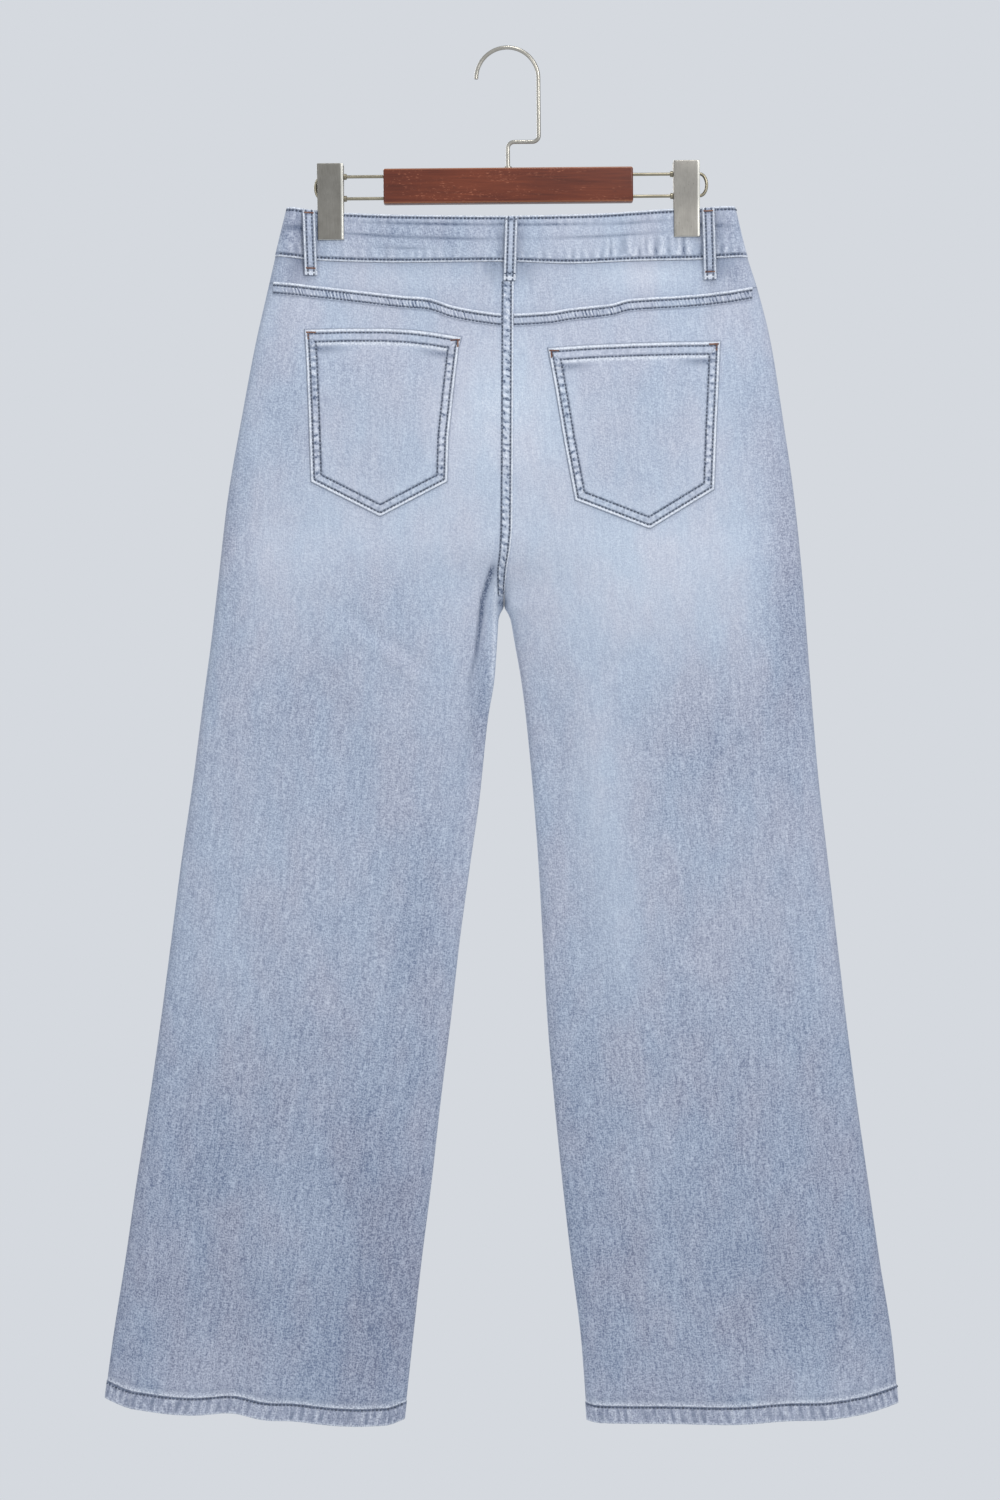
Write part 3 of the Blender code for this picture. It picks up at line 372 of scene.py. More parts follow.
def denim(name, hollows=(), ridges=(), gathers=None, wearBase=0.0, lilac=0.0):
    # hollows are painted shade in sunk lines and along edges; ridges are pale rubbed wear
    # hollows and ridges are lines along the seam: distance from its edge, half width, amount
    look, relief = denimLook, denimLook["relief"]
    made, tree, surface = newMaterial(name, {
        "Roughness": 0.88, "Specular IOR Level": 0.25, "Sheen Weight": 0.10,
        "Sheen Roughness": 0.6})

    def add(*given, **more):
        return addNode(tree, *given, **more)

    coords = {"grain": add("UVMap", uv_map="grain"), "solid": add("TexCoord", out=3)}
    seamUv = add("UVMap", uv_map="seam")
    along, away = [add("SeparateXYZ", {0: seamUv}, k) for k in (0, 1)]
    tone, shade, wear, gathered, within = [
        add("Attribute", out=2, attribute_name=key)
        for key in ("tone", "shade", "wear", "gathered", "within")]
    total = add("Value")
    total.default_value = -sum(row[-1] for row in look["layers"]) / 2
    layers = []
    for k, (where, size, detail, rough, edge, amount) in enumerate(look["layers"]):
        marks = grains(tree, coords[where], size, detail, rough, (3.7 * k, 9.1 * k, 0.0))
        layers.append(add("MapRange", {0: marks, 1: 0.5 - edge, 2: 0.5 + edge}))
        total = add("Math", {0: layers[-1], 1: amount, 2: total}, operation="MULTIPLY_ADD")
    strength = add("MapRange", {0: tone, 1: 0.25, 2: 0.85, 3: look["contrast"][0],
                                4: look["contrast"][1]}, interpolation_type="SMOOTHSTEP")
    base = add("MapRange", {0: tone, 1: 0.0, 2: 1.0, 3: 0.20, 4: 0.80}, clamp=False)
    place = add("Math", {0: total, 1: strength, 2: base}, operation="MULTIPLY_ADD")
    clouds = add("MapRange", {0: grains(tree, coords["solid"], look["hueClouds"], 2.0),
                              1: 0.36, 2: 0.64, 3: lilac})
    colour = add("Mix", {0: clouds, 6: add("ValToRGB", {0: place}, stops=look["blue"]),
                         7: add("ValToRGB", {0: place}, stops=look["lilac"])},
                 2, data_type="RGBA")
    speck = add("Math", {0: layers[2], 1: 0.9, 2: 0.55}, operation="MULTIPLY_ADD")
    patchy = grains(tree, seamUv, (0.0055, 0.0040, 1.0), 2.0, 0.6)
    height = add("Math", {0: layers[0], 1: relief["slub"]}, operation="MULTIPLY")
    height = add("Math", {0: layers[2], 1: relief["speck"], 2: height}, operation="MULTIPLY_ADD")
    dark, light = shade, wear
    for lines, lift in ((hollows, -relief["row"]), (ridges, relief["ridge"])):
        for middle, half, amount in lines:
            off = add("Math", {0: away, 1: middle}, operation="SUBTRACT")
            off = add("Math", {0: off}, operation="ABSOLUTE")
            line = add("MapRange", {0: off, 1: half * 1.7, 2: half * 0.2, 3: 0.0, 4: 1.0},
                       interpolation_type="SMOOTHSTEP")
            height = add("Math", {0: line, 1: lift * min(amount, 1.0), 2: height},
                         operation="MULTIPLY_ADD")
            markStrength = add("MapRange", {0: patchy, 1: 0.34, 2: 0.62, 3: 0.45 * amount, 4: amount})
            line = add("Math", {0: line, 1: markStrength}, operation="MULTIPLY")
            if lift < 0:
                dark = add("Math", {0: dark, 1: line}, operation="MAXIMUM")
            else:
                light = add("Math", {0: light, 1: line}, operation="MAXIMUM")
    if gathers:  # between two rows of sewing: painted shade in the hollows and pale crests of rubbed wear with a painted highlight, leaning over
        low, high, pitch, reach, slant, amount = gathers
        lean = add("Math", {0: away, 1: slant, 2: along}, operation="MULTIPLY_ADD")
        leaning = add("CombineXYZ", {0: lean, 1: away})
        counted = add("Mapping", {0: leaning, 3: (1 / pitch, 1 / reach, 1.0)})
        beat = add("TexWave", {0: counted, "Scale": 0.314, "Distortion": 2.4, "Detail": 1.0}, 1)
        folds = add("Mix", {0: 0.20, 2: grains(tree, leaning, (pitch / 2, reach, 1.0), 1.5),
                            3: beat})
        between = add("Math", {0: add("MapRange", {0: away, 1: low - 0.001, 2: low}),
                               1: add("MapRange", {0: away, 1: high + 0.001, 2: high})},
                      operation="MULTIPLY")
        between = add("Math", {0: between, 1: gathered}, operation="MULTIPLY")
        between = add("Math", {0: between, 1: add("MapRange", {
            0: patchy, 1: 0.38, 2: 0.54, 3: 0.50, 4: 1.0})}, operation="MULTIPLY")
        hollow = add("MapRange", {0: folds, 1: 0.47, 2: 0.35, 4: amount})
        crest = add("MapRange", {0: folds, 1: 0.52, 2: 0.64, 4: amount * 0.6})
        hollow = add("Math", {0: hollow, 1: between}, operation="MULTIPLY")
        crest = add("Math", {0: crest, 1: between}, operation="MULTIPLY")
        dark = add("Math", {0: dark, 1: hollow}, operation="MAXIMUM")
        light = add("Math", {0: light, 1: crest}, operation="MAXIMUM")
        folded = add("Math", {0: folds, 1: between}, operation="MULTIPLY")
        height = add("Math", {0: folded, 1: relief["gather"], 2: height},
                     operation="MULTIPLY_ADD")
    light = add("Math", {0: light, 1: wearBase}, operation="ADD")
    # painted shade first, then rubbed wear with painted highlight, both broken up by the specks
    for amount, tint in ((dark, look["shadeColour"]), (light, look["whiteWearAndHighlightColour"])):
        mixed = add("Math", {0: amount, 1: speck}, operation="MULTIPLY", use_clamp=True)
        colour = add("Mix", {0: mixed, 6: colour, 7: linear(tint)}, 2, data_type="RGBA")
    pale = add("ValToRGB", {0: layers[1]}, stops=((0.3, look["inside"][0]),
                                                  (0.7, look["inside"][1])))
    colour = add("Mix", {0: within, 6: colour, 7: pale}, 2, data_type="RGBA")
    tree.links.new(colour, surface.inputs["Base Color"])
    turned = add("Mapping", {0: coords["grain"], 2: (0.0, 0.0, math.radians(58)),
                             3: (1 / look["twill"],) * 3})
    twill = add("TexWave", {0: turned, "Scale": 0.16, "Distortion": 1.2, "Detail": 1.0}, 1)
    height = add("Math", {0: twill, 1: relief["twill"], 2: height}, operation="MULTIPLY_ADD")
    tree.links.new(add("Bump", {"Strength": 1.0, "Distance": 1.0, "Height": height}),
                   surface.inputs["Normal"])
    return made


# Building the cloth pieces

def addObject(name, data):
    made = bpy.data.objects.new(name, data)
    bpy.context.scene.collection.objects.link(made)
    return made


def addPiece(name, mesh, look):
    mesh.materials.append(look)
    made = addObject(name, mesh)
    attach(made, "root")
    return made


def quadMesh(name, points, faces, uvs, uvKeys, attributes):
    mesh = bpy.data.meshes.new(name)
    mesh.vertices.add(len(points))
    mesh.vertices.foreach_set("co", np.asarray(points, np.float32).ravel())
    mesh.loops.add(faces.size)
    mesh.loops.foreach_set("vertex_index", faces.astype(np.int32).ravel())
    mesh.polygons.add(len(faces))
    mesh.polygons.foreach_set("loop_start", np.arange(0, faces.size, 4, dtype=np.int32))
    mesh.update(calc_edges=True)
    for layer, values in uvs.items():
        made = mesh.uv_layers.new(name=layer)
        made.uv.foreach_set("vector", values[uvKeys.ravel()].astype(np.float32).ravel())
    for layer, values in attributes.items():
        made = mesh.attributes.new(layer, "FLOAT", "POINT")
        made.data.foreach_set("value", np.asarray(values, np.float32).ravel())
    mesh.validate()
    mesh.shade_smooth()
    mesh.set_sharp_from_angle(angle=math.radians(48))
    return mesh


def closedShell(name, outer, inner, seam, look, tone=0.5, shade=0.0, wear=0.0, ring=False,
                slot="denim", gathered=1.0):
    # a closed wall between two grids of points, row by row; a ring joins its last column to its
    # first. seam holds how far along and how far away from the sewn edge each point lies
    rows, columns = outer.shape[:2]
    span = columns if ring else columns - 1
    sheetSize = rows * columns
    wide = columns + 1 if ring else columns
    r, c = [k.ravel() for k in np.meshgrid(np.arange(rows - 1), np.arange(span), indexing="ij")]

    def corners(cells, layer):
        keys = np.stack([r0 * columns + c0 % columns for r0, c0 in cells], 1) + layer * sheetSize
        return keys, np.stack([r0 * wide + c0 for r0, c0 in cells], 1)

    cells = [(r, c), (r + 1, c), (r + 1, c + 1), (r, c + 1)]
    parts = [corners(cells, 0), corners(cells[::-1], 1)]
    e = np.arange(span)
    top, end = np.zeros_like(e), np.full_like(e, rows - 1)
    rims = [((top, e), (top, e + 1)), ((end, e + 1), (end, e))]
    if not ring:
        e = np.arange(rows - 1)
        start, last = np.zeros_like(e), np.full_like(e, columns - 1)
        rims += [((e + 1, start), (e, start)), ((e, last), (e + 1, last))]
    for a, b in rims:
        keys, uvKeys = corners([a, b, b, a], 0)
        keys[:, 2:] += sheetSize
        parts.append((keys, uvKeys))
    faces = np.concatenate([p[0] for p in parts])
    uvKeys = np.concatenate([p[1] for p in parts])
    points = np.concatenate([outer.reshape(-1, 3), inner.reshape(-1, 3)])
    a, b, c3, d = [points[faces[:, k]] for k in range(4)]
    volume = np.einsum("ij,ij->i", a, np.cross(b, c3)).sum() \
        + np.einsum("ij,ij->i", a, np.cross(c3, d)).sum()
    if volume < 0:
        faces, uvKeys = faces[:, ::-1], uvKeys[:, ::-1]
    loop = np.concatenate([outer, outer[:, :1]], 1) if ring else outer
    steps = np.linalg.norm(np.diff(loop, axis=1), axis=2)
    across = np.concatenate([np.zeros((rows, 1)), np.cumsum(steps, 1)], 1)
    across -= across[:, -1:] / 2
    down = np.linalg.norm(np.diff(loop, axis=0), axis=2).mean(1)
    down = np.concatenate([[0.0], np.cumsum(down)])[:, None] * np.ones((1, wide))
    offset = sum(map(ord, name)) % 17 * 0.37  # each piece is cut from its own place in the cloth
    uvs = {"grain": np.stack([across + offset, down + offset], 2).reshape(-1, 2),
           "seam": np.stack(seam, 2).reshape(-1, 2)}
    both = {}
    # the pale attribute holds rubbed wear and painted highlight; shade holds painted shade
    for key, value in (("tone", tone), ("shade", shade), ("wear", wear),
                       ("gathered", gathered)):
        flat = np.broadcast_to(value, (rows, columns)).ravel()
        both[key] = np.concatenate([flat, flat * (1.0 if key == "tone" else 0.0)])
    both["within"] = np.concatenate([np.zeros(sheetSize), np.ones(sheetSize)])
    mesh = quadMesh(name, points, faces, uvs, uvKeys, both)
    return addPiece(name, mesh, look)


# How pale the wash is: 1 on the seat, 0 low on the legs
washDown = curveThrough(((-1.21, 0.30), (-1.149, 0.20), (-1.088, 0.14), (-1.018, 0.17),
                         (-0.949, 0.20), (-0.879, 0.26), (-0.810, 0.35), (-0.740, 0.41),
                         (-0.670, 0.44), (-0.600, 0.47), (-0.531, 0.57), (-0.479, 0.68),
                         (-0.427, 0.76), (-0.374, 0.74), (-0.322, 0.72), (-0.270, 0.64),
                         (-0.196, 0.62), (-0.161, 0.58)))
washAndShadePatches = {
    "back": (  # across, height, spread across, spread in height, how much paler
        (0.000, -0.310, 0.052, 0.056, 0.24), (-0.245, -0.400, 0.024, 0.130, -0.38),
        (0.248, -0.450, 0.028, 0.150, -0.46), (0.120, -0.480, 0.075, 0.060, 0.14),
        (0.078, -0.640, 0.022, 0.090, 0.26), (0.098, -0.760, 0.022, 0.080, 0.20),
        (0.170, -0.600, 0.034, 0.070, -0.08), (-0.120, -0.650, 0.060, 0.080, -0.06),
        (-0.075, -0.760, 0.024, 0.080, -0.18), (-0.180, -1.020, 0.040, 0.060, 0.10),
        (-0.105, -1.060, 0.030, 0.120, -0.14), (-0.245, -0.800, 0.036, 0.080, 0.08),
        (0.140, -1.080, 0.030, 0.060, 0.10), (-0.262, -1.150, 0.040, 0.040, 0.10),
        (0.270, -1.160, 0.060, 0.035, 0.14), (-0.020, -0.560, 0.012, 0.070, -0.30),
        (0.080, -0.160, 0.070, 0.018, 0.16), (-0.185, -0.160, 0.030, 0.020, -0.26),
        (0.190, -0.160, 0.022, 0.020, -0.18), (0.120, -0.197, 0.045, 0.013, 0.26),
        # the darker patches at (0.194, -0.196) and (-0.190, -0.196) are painted shade beside the outer back
        # belt loops
        (-0.100, -0.200, 0.050, 0.014, 0.08), (0.194, -0.196, 0.018, 0.012, -0.30),
        (-0.190, -0.196, 0.016, 0.012, -0.26), (-0.190, -0.330, 0.030, 0.070, -0.22),
        (0.216, -0.322, 0.026, 0.060, -0.16), (-0.110, -0.480, 0.050, 0.050, -0.18),
        (-0.180, -0.560, 0.040, 0.060, -0.14), (0.185, -0.600, 0.040, 0.060, -0.10),
        (-0.130, -1.150, 0.060, 0.060, -0.10), (-0.076, -0.161, 0.040, 0.010, -0.16),
        (0.124, -0.957, 0.034, 0.055, 0.12), (-0.137, -0.957, 0.032, 0.050, -0.08),
        (-0.255, -0.957, 0.030, 0.050, -0.06),
    ),
    "front": (
        (-0.110, -0.560, 0.060, 0.170, 0.26), (0.110, -0.560, 0.060, 0.170, 0.26),
        (-0.160, -0.820, 0.050, 0.120, 0.12), (0.160, -0.820, 0.050, 0.120, 0.12),
        (0.0, -0.430, 0.050, 0.080, -0.18), (-0.240, -0.480, 0.024, 0.160, -0.26),
        (0.240, -0.480, 0.024, 0.160, -0.26),
    ),
}


def washAndShadeTone(face, x, z):
    tone = washDown(z) * np.ones(np.broadcast(x, z).shape)
    for px, pz, sx, sz, amount in washAndShadePatches[face]:
        tone = tone + amount * bump(x, px, sx) * bump(z, pz, sz)
    return np.clip(tone, 0.0, 1.0)


def placeAcross(side, share, z, inset=0.0):
    outer, inner = edges(side, z, inset)
    return blend(outer, inner, share)


def fromEdges(side, x, z):  # how far in from the outer and from the inner edge
    return [np.abs(x - edge) for edge in edges(side, z, 0.0)]


def hemEndAt(side, face, share):
    level = np.full_like(share, garment["hemLevel"])
    return hemEnd(side, face, placeAcross(side, share, level))


def shareLine(side, face, share, line, drop=0.0):
    z = np.full(np.shape(share), float(line(0.0)))
    for _ in range(6):
        x = placeAcross(side, share, z)
        z = line(x) - frontDip(face, x) - drop
    return z


def clothPoints(side, face, share, z, inset=0.0, gap=0.0, relief=0.0):
    x = placeAcross(side, share, z, inset)
    depth = halfDepth(side, face, x, z, inset) + gap + relief
    return np.stack([x, faceSign[face] * depth, z + 0.0 * x], -1)


def shares(count, evenly=0.3, ends=(0.0004, 0.0012)):  # columns, closer together at both ends
    k = np.arange(count + 1) / count
    share = evenly * k + (1 - evenly) * (1 - np.cos(math.pi * k)) / 2
    return np.unique(np.concatenate([share, ends, 1 - np.array(ends)]))


# Where the left leg's cloth folds over beside the seat seam: a deep groove and a raised strip
crotchFold = {
    "groove": ((-0.0110, -0.4440), (-0.0190, -0.4690), (-0.0221, -0.4807), (-0.0246, -0.5059),
               (-0.0270, -0.5280), (-0.0313, -0.5442), (-0.0350, -0.5750)),
    "strip": ((-0.0090, -0.4600), (-0.0105, -0.4850), (-0.0120, -0.5300), (-0.0170, -0.6200)),
    # dark is the strength of the painted shade in the groove
    "grooveHalf": (0.0013, 0.0036), "stripHalf": 0.0020, "dark": 1.0, "pale": 0.35,
    "deep": 0.0018, "flat": 0.010, "end": (-0.0045, -0.4820),
}


def crotchShade(x, z):  # how much painted shade lies in the groove, how pale the strip, and how deep it sinks
    away, along = lineAway(crotchFold["groove"], x, z)
    line = np.array(crotchFold["groove"][::-1])
    outerSide = x < np.interp(z, line[:, 1], line[:, 0])
    low, high = crotchFold["grooveHalf"]
    half = np.where(outerSide, low, low + (high - low) * smooth(0.100, 0.030, along))
    fade = smooth(0.0, 0.012, along) * smooth(0.145, 0.045, along)
    groove = np.exp(-(away / half) ** 2) * fade
    away, along = lineAway(crotchFold["strip"], x, z)
    strip = np.exp(-(away / crotchFold["stripHalf"]) ** 2) * smooth(0.0, 0.010, along)
    return groove, strip * smooth(0.160, 0.060, along)


# Leg panels
legPanels = {
    "back": {"columns": 104, "rows": 330}, "front": {"columns": 64, "rows": 200},
    "sidePucker": 0.00028, "hemPucker": 0.00055, "sideReach": 0.008, "sideFlat": 0.003,
    "hemReach": 0.012, "hemFlat": 0.006, "crotchBlend": 0.02,
    "seamShade": (0.16, 0.004), "hemShade": (0.16, 0.0050, 0.0025), "topShade": (0.20, 0.006),
    "cornerShade": (0.9, 0.0050), "hemWear": (0.95, 0.0010, 0.0014),
    "flat": {"back": (0.286, 0.985), "front": (0.284, 1.010)},
}
panelLook = denim("stone-washed denim, leg panels")
sideWave = {side: ripples(11 + k, 9, 0.009, 0.026) for k, side in enumerate(sides)}
hemWave = {side: ripples(21 + k, 9, 0.010, 0.028) for k, side in enumerate(sides)}


def legPanel(side, face):
    size = legPanels[face]
    share = shares(size["columns"])[None, :]
    line = yokeSeam if face == "back" else waistSeam
    top = shareLine(side, face, share, line, 0.0002)
    end = hemEndAt(side, face, share) + garment["hemHeight"] + 0.0001
    step = (np.arange(size["rows"] + 1) / size["rows"])[:, None]
    z = blend(top, end, step)
    x = placeAcross(side, share, z)
    fromSide, fromInner = fromEdges(side, x, z)
    aboveHem = z - end
    crotch, half = garment["crotch"], legPanels["crotchBlend"]
    belowCrotch = smooth(crotch + half, crotch - half, z)
    reach, flat = legPanels["sideReach"], legPanels["sideFlat"]
    relief = fading(fromSide, legPanels["sidePucker"] * sideWave[side](z), reach) \
        * upTo(fromSide, flat)
    relief += fading(fromInner, legPanels["sidePucker"] * sideWave[side](z + 0.3) * belowCrotch,
                     reach) * upTo(fromInner, flat)
    reach, flat = legPanels["hemReach"], legPanels["hemFlat"]
    relief += fading(aboveHem, legPanels["hemPucker"] * hemWave[side](x), reach) \
        * upTo(fromSide, flat) * upTo(fromInner, flat)
    groove = strip = 0.0 * x
    if (side, face) == ("left", "back"):
        groove, strip = crotchShade(x, z)
        relief -= crotchFold["deep"] * groove * upTo(fromInner, crotchFold["flat"])
    outer = clothPoints(side, face, share, z, 0.0, garment["gap"], relief)
    inner = clothPoints(side, face, share, z, garment["cloth"], garment["gap"], relief)
    tone = washAndShadeTone(face, x, z)
    # painted shade along the side seam, above the hem, under the top seam and in the crotch groove
    shade = fading(fromSide, *legPanels["seamShade"]) + ridge(aboveHem, *legPanels["hemShade"])
    shade = shade + fading(top - z, *legPanels["topShade"])
    shade = shade + crotchFold["dark"] * groove
    if face == "back":  # painted shade in the corner under the end of the seat seam
        endX, endZ = crotchFold["end"]
        amount, spread = legPanels["cornerShade"]
        shade = shade + amount * bump(x, endX, spread) * bump(z, endZ, spread)
    wear = ridge(aboveHem, *legPanels["hemWear"]) + crotchFold["pale"] * strip
    return outer, inner, (fromSide, aboveHem), tone, shade, wear


legs = {}
for side in sides:
    for face in clothFaces:
        outer, inner, seam, tone, shade, wear = legPanel(side, face)
        name = f"{face}Panel{side.capitalize()}"
        panel = closedShell(name, outer, inner, seam, panelLook, tone, shade, wear)
        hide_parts(f"{face}_{side}")
        legs[name] = panel
print("leg panels:", len(legs))


# Pieces sewn on the panels

def roundedEdge(away, radius):
    return np.sqrt(1 - (1 - np.clip(away / radius, 0.0, 1.0)) ** 2)


def sunkRows(rise, rows, away, depth, half):  # each row of sewing draws the cloth in
    for row in rows:
        rise = rise - depth * bump(away, row, half)
    return rise


def betweenRows(rows, away, edge=0.0012):  # 1 between two rows of sewing, 0 at both
    near, far = rows
    return smooth(near, near + edge, away) * smooth(far, far - edge, away)


def laidShell(name, node, face, x, z, seam, rise, look, lift=0.0001, **finish):
    # a piece on the cloth: x and z are grids of places, rise how far it stands off the cloth
    base = wholeDepth(face, x, z) + garment["gap"] + lift
    outer = np.stack([x, faceSign[face] * (base + rise), z], -1)
    inner = np.stack([x, faceSign[face] * base, z], -1)
    finish.setdefault("tone", washAndShadeTone(face, x, z))
    made = closedShell(name, outer, inner, seam, look, **finish)
    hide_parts(node)
    return made


def eased(count, ease=0.7):  # even steps, drawn together at both ends
    t = np.arange(count + 1) / count
    return t - ease * np.sin(2 * math.pi * t) / (2 * math.pi)


def alongLine(points, t):  # places on a line of (across, height) points, t from 0 to 1
    points = np.array(points)
    run = np.concatenate([[0.0], np.cumsum(np.hypot(*np.diff(points, axis=0).T))])
    return np.stack([np.interp(t * run[-1], run, points[:, k]) for k in (0, 1)], -1)


def patch(top, end, left, right, columns, rows):  # a grid of places within four edge lines
    u, v = eased(columns), eased(rows)
    t, e = alongLine(top, u)[None], alongLine(end, u)[None]
    l, r = alongLine(left, v)[:, None], alongLine(right, v)[:, None]
    u, v = u[None, :, None], v[:, None, None]
    corners = ((1 - u) * (1 - v) * np.array(top[0]) + u * (1 - v) * np.array(top[-1])
               + (1 - u) * v * np.array(end[0]) + u * v * np.array(end[-1]))
    grid = (1 - v) * t + v * e + (1 - u) * l + u * r - corners
    return grid[..., 0], grid[..., 1]


# Back pockets: five-cornered patches with two rows of sewing round the sides and the point
backPockets = {
    "left": {"top": ((-0.1760, -0.2442), (-0.1430, -0.2433), (-0.1060, -0.2434),
                     (-0.0830, -0.2448), (-0.0640, -0.2472), (-0.0388, -0.2515)),
             "end": ((-0.1700, -0.3778), (-0.1096, -0.4085), (-0.0510, -0.3780)),
             "left": ((-0.1760, -0.2442), (-0.1738, -0.2800), (-0.1722, -0.3165),
                      (-0.1700, -0.3778)),
             "right": ((-0.0388, -0.2515), (-0.0415, -0.2620), (-0.0462, -0.3032),
                       (-0.0500, -0.3400), (-0.0510, -0.3780))},
    "right": {"top": ((0.0347, -0.2610), (0.0700, -0.2583), (0.1100, -0.2564),
                      (0.1500, -0.2552), (0.1853, -0.2546)),
              "end": ((0.0583, -0.3940), (0.1234, -0.4190), (0.1796, -0.3845)),
              "left": ((0.0347, -0.2610), (0.0410, -0.2960), (0.0490, -0.3440),
                       (0.0583, -0.3940)),
              "right": ((0.1853, -0.2546), (0.1842, -0.2800), (0.1817, -0.3300),
                        (0.1796, -0.3845))},
    "rows": (0.0034, 0.0096), "topRows": (0.0044, 0.0118), "wall": 0.0013, "hemWall": 0.0005,
    "flat": (0.152, 0.176), "lift": 0.0001, "edge": 0.0011, "hemEdge": 0.0015,
    "hemFold": (0.0150, 0.0125), "sunk": (0.00032, 0.0009), "rope": 0.00030,
    "inner": (0.00014, 0.0030),  # soft waves inside the second row, and how far in
    "tacks": (((0.0022, 0.0030), (0.0100, 0.0033)), ((0.0036, 0.0030), (0.0038, 0.0090))),
}
pocketLook = denim("stone-washed denim, pocket",
                   hollows=((0.0, 0.0007, 0.8), (0.0034, 0.0009, 0.8), (0.0096, 0.0009, 0.8)),
                   ridges=((0.0017, 0.0011, 1.1),),
                   gathers=(0.0044, 0.0088, 0.0064, 0.004, 0.0, 0.85))


def pocketAway(side, x, z):  # distance in from the edge, the top's rows brought in line
    shape = backPockets[side]
    sewn = list(shape["left"]) + list(shape["end"][1:]) + list(shape["right"][::-1][1:])
    away, along = lineAway(sewn, x, z)
    topAway, topAlong = lineAway(shape["top"], x, z)
    first, second = backPockets["topRows"]
    near, far = backPockets["rows"]
    scaled = near + (topAway - first) * (far - near) / (second - first)
    onTop = scaled < away
    return np.where(onTop, scaled, away), np.where(onTop, topAlong, along + 0.7), away, topAway


def pocketRise(side, away, along, sideAway, topAway):
    edge = np.minimum(sideAway, topAway)
    rise = backPockets["wall"] * roundedEdge(edge, backPockets["edge"])
    rise += backPockets["hemWall"] * smooth(*backPockets["hemFold"], topAway) \
        * roundedEdge(edge, backPockets["hemEdge"])
    rise = sunkRows(rise, backPockets["rows"], away, *backPockets["sunk"])
    rise += backPockets["rope"] * pocketWave[side](along) * betweenRows(backPockets["rows"], away)
    depth, inward = backPockets["inner"]
    return rise + depth * pocketWave[side](along + 0.5) \
        * bump(away, backPockets["rows"][1] + inward, inward)


pocketWave = {side: ripples(31 + k, 5, 0.0055, 0.0085) for k, side in enumerate(sides)}
for side in sides:
    shape = backPockets[side]
    x, z = patch(shape["top"], shape["end"], shape["left"], shape["right"], 96, 96)
    away, along, sideAway, topAway = pocketAway(side, x, z)
    rise = pocketRise(side, away, along, sideAway, topAway)
    tone = washAndShadeTone("back", x, z) - 0.10 * smooth(0.010, 0.030, np.minimum(sideAway, topAway))
    # painted shade under the corners of the top hem and in the hollows inside the second row
    shade = 0.55 * bump(topAway, 0.0180, 0.0035) * smooth(0.045, 0.012, sideAway)
    shade += 0.40 * bump(away, backPockets["rows"][1] + 0.0010, 0.0012) * (
        pocketWave[side](along) < -0.1)
    wear = 0.75 * bump(topAway, 0.0139, 0.0012) * smooth(0.0090, 0.0110, sideAway)
    onSide = (along > 0.7) & ((along < 0.834) | (along > 0.969))
    gathered = np.where(onSide, 1.0, np.where(along > 0.7, 0.40, 0.22))
    made = laidShell(f"backPocket{side.capitalize()}", f"pocket_back_{side}", "back", x, z,
                     (along, away), rise, pocketLook, backPockets["lift"], tone=tone,
                     shade=shade, wear=wear, gathered=gathered)

# The felled seam under the yoke, with its gathers, and the seat seam
yokeSeamBand = {
    "above": 0.0012, "below": 0.0103, "wall": 0.0010, "edge": 0.0010,
    "rows": (0.0034, 0.0098), "sunk": (0.00034, 0.0008), "crest": (0.00045, 0.0014, 0.0012),
    "ends": {"left": (-0.2030, -0.0052), "right": (0.0060, 0.2130)}, "gather": 0.00034,
}
yokeSeamLook = denim("stone-washed denim, yoke seam",
                     hollows=((0.0034, 0.0009, 0.85), (0.0098, 0.0009, 0.85)),
                     ridges=((0.0014, 0.0011, 1.0),),
                     gathers=(0.0040, 0.0094, 0.0030, 0.010, -0.35, 0.95))
yokeWave = ripples(41, 7, 0.0030, 0.0062)
# where the gathers are tightest: across, spread, amount
yokeGathers = ((-0.160, 0.028, 0.9), (-0.085, 0.018, 1.0), (-0.040, 0.020, 0.7),
               (0.080, 0.034, 0.9), (0.185, 0.026, 1.0))


def yokeTight(x):
    return 0.35 + sum(amount * bump(x, place, spread) for place, spread, amount in yokeGathers)


def yokeBandRise(x, away):
    full = yokeSeamBand["above"] + yokeSeamBand["below"]
    rise = yokeSeamBand["wall"] * roundedEdge(np.minimum(away, full - away), yokeSeamBand["edge"])
    rise += ridge(away, *yokeSeamBand["crest"])
    rise = sunkRows(rise, yokeSeamBand["rows"], away, *yokeSeamBand["sunk"])
    between = betweenRows(yokeSeamBand["rows"], away)
    return rise + yokeSeamBand["gather"] * yokeWave(x + 0.35 * away) * between * yokeTight(x)


for side in sides:
    low, high = yokeSeamBand["ends"][side]
    full = yokeSeamBand["above"] + yokeSeamBand["below"]
    away = (eased(18, 0.35) * full)[:, None]
    x = np.linspace(low, high, 230)[None, :] + 0.0 * away
    away = away + 0.0 * x
    z = yokeSeam(x) + yokeSeamBand["above"] - away
    # a little painted shade over the whole band
    made = laidShell(f"yokeSeam{side.capitalize()}", f"yoke_seam_{side}", "back", x, z,
                     (x, away), yokeBandRise(x, away), yokeSeamLook,
                     shade=0.10 + 0.0 * x, gathered=np.minimum(yokeTight(x), 1.0))

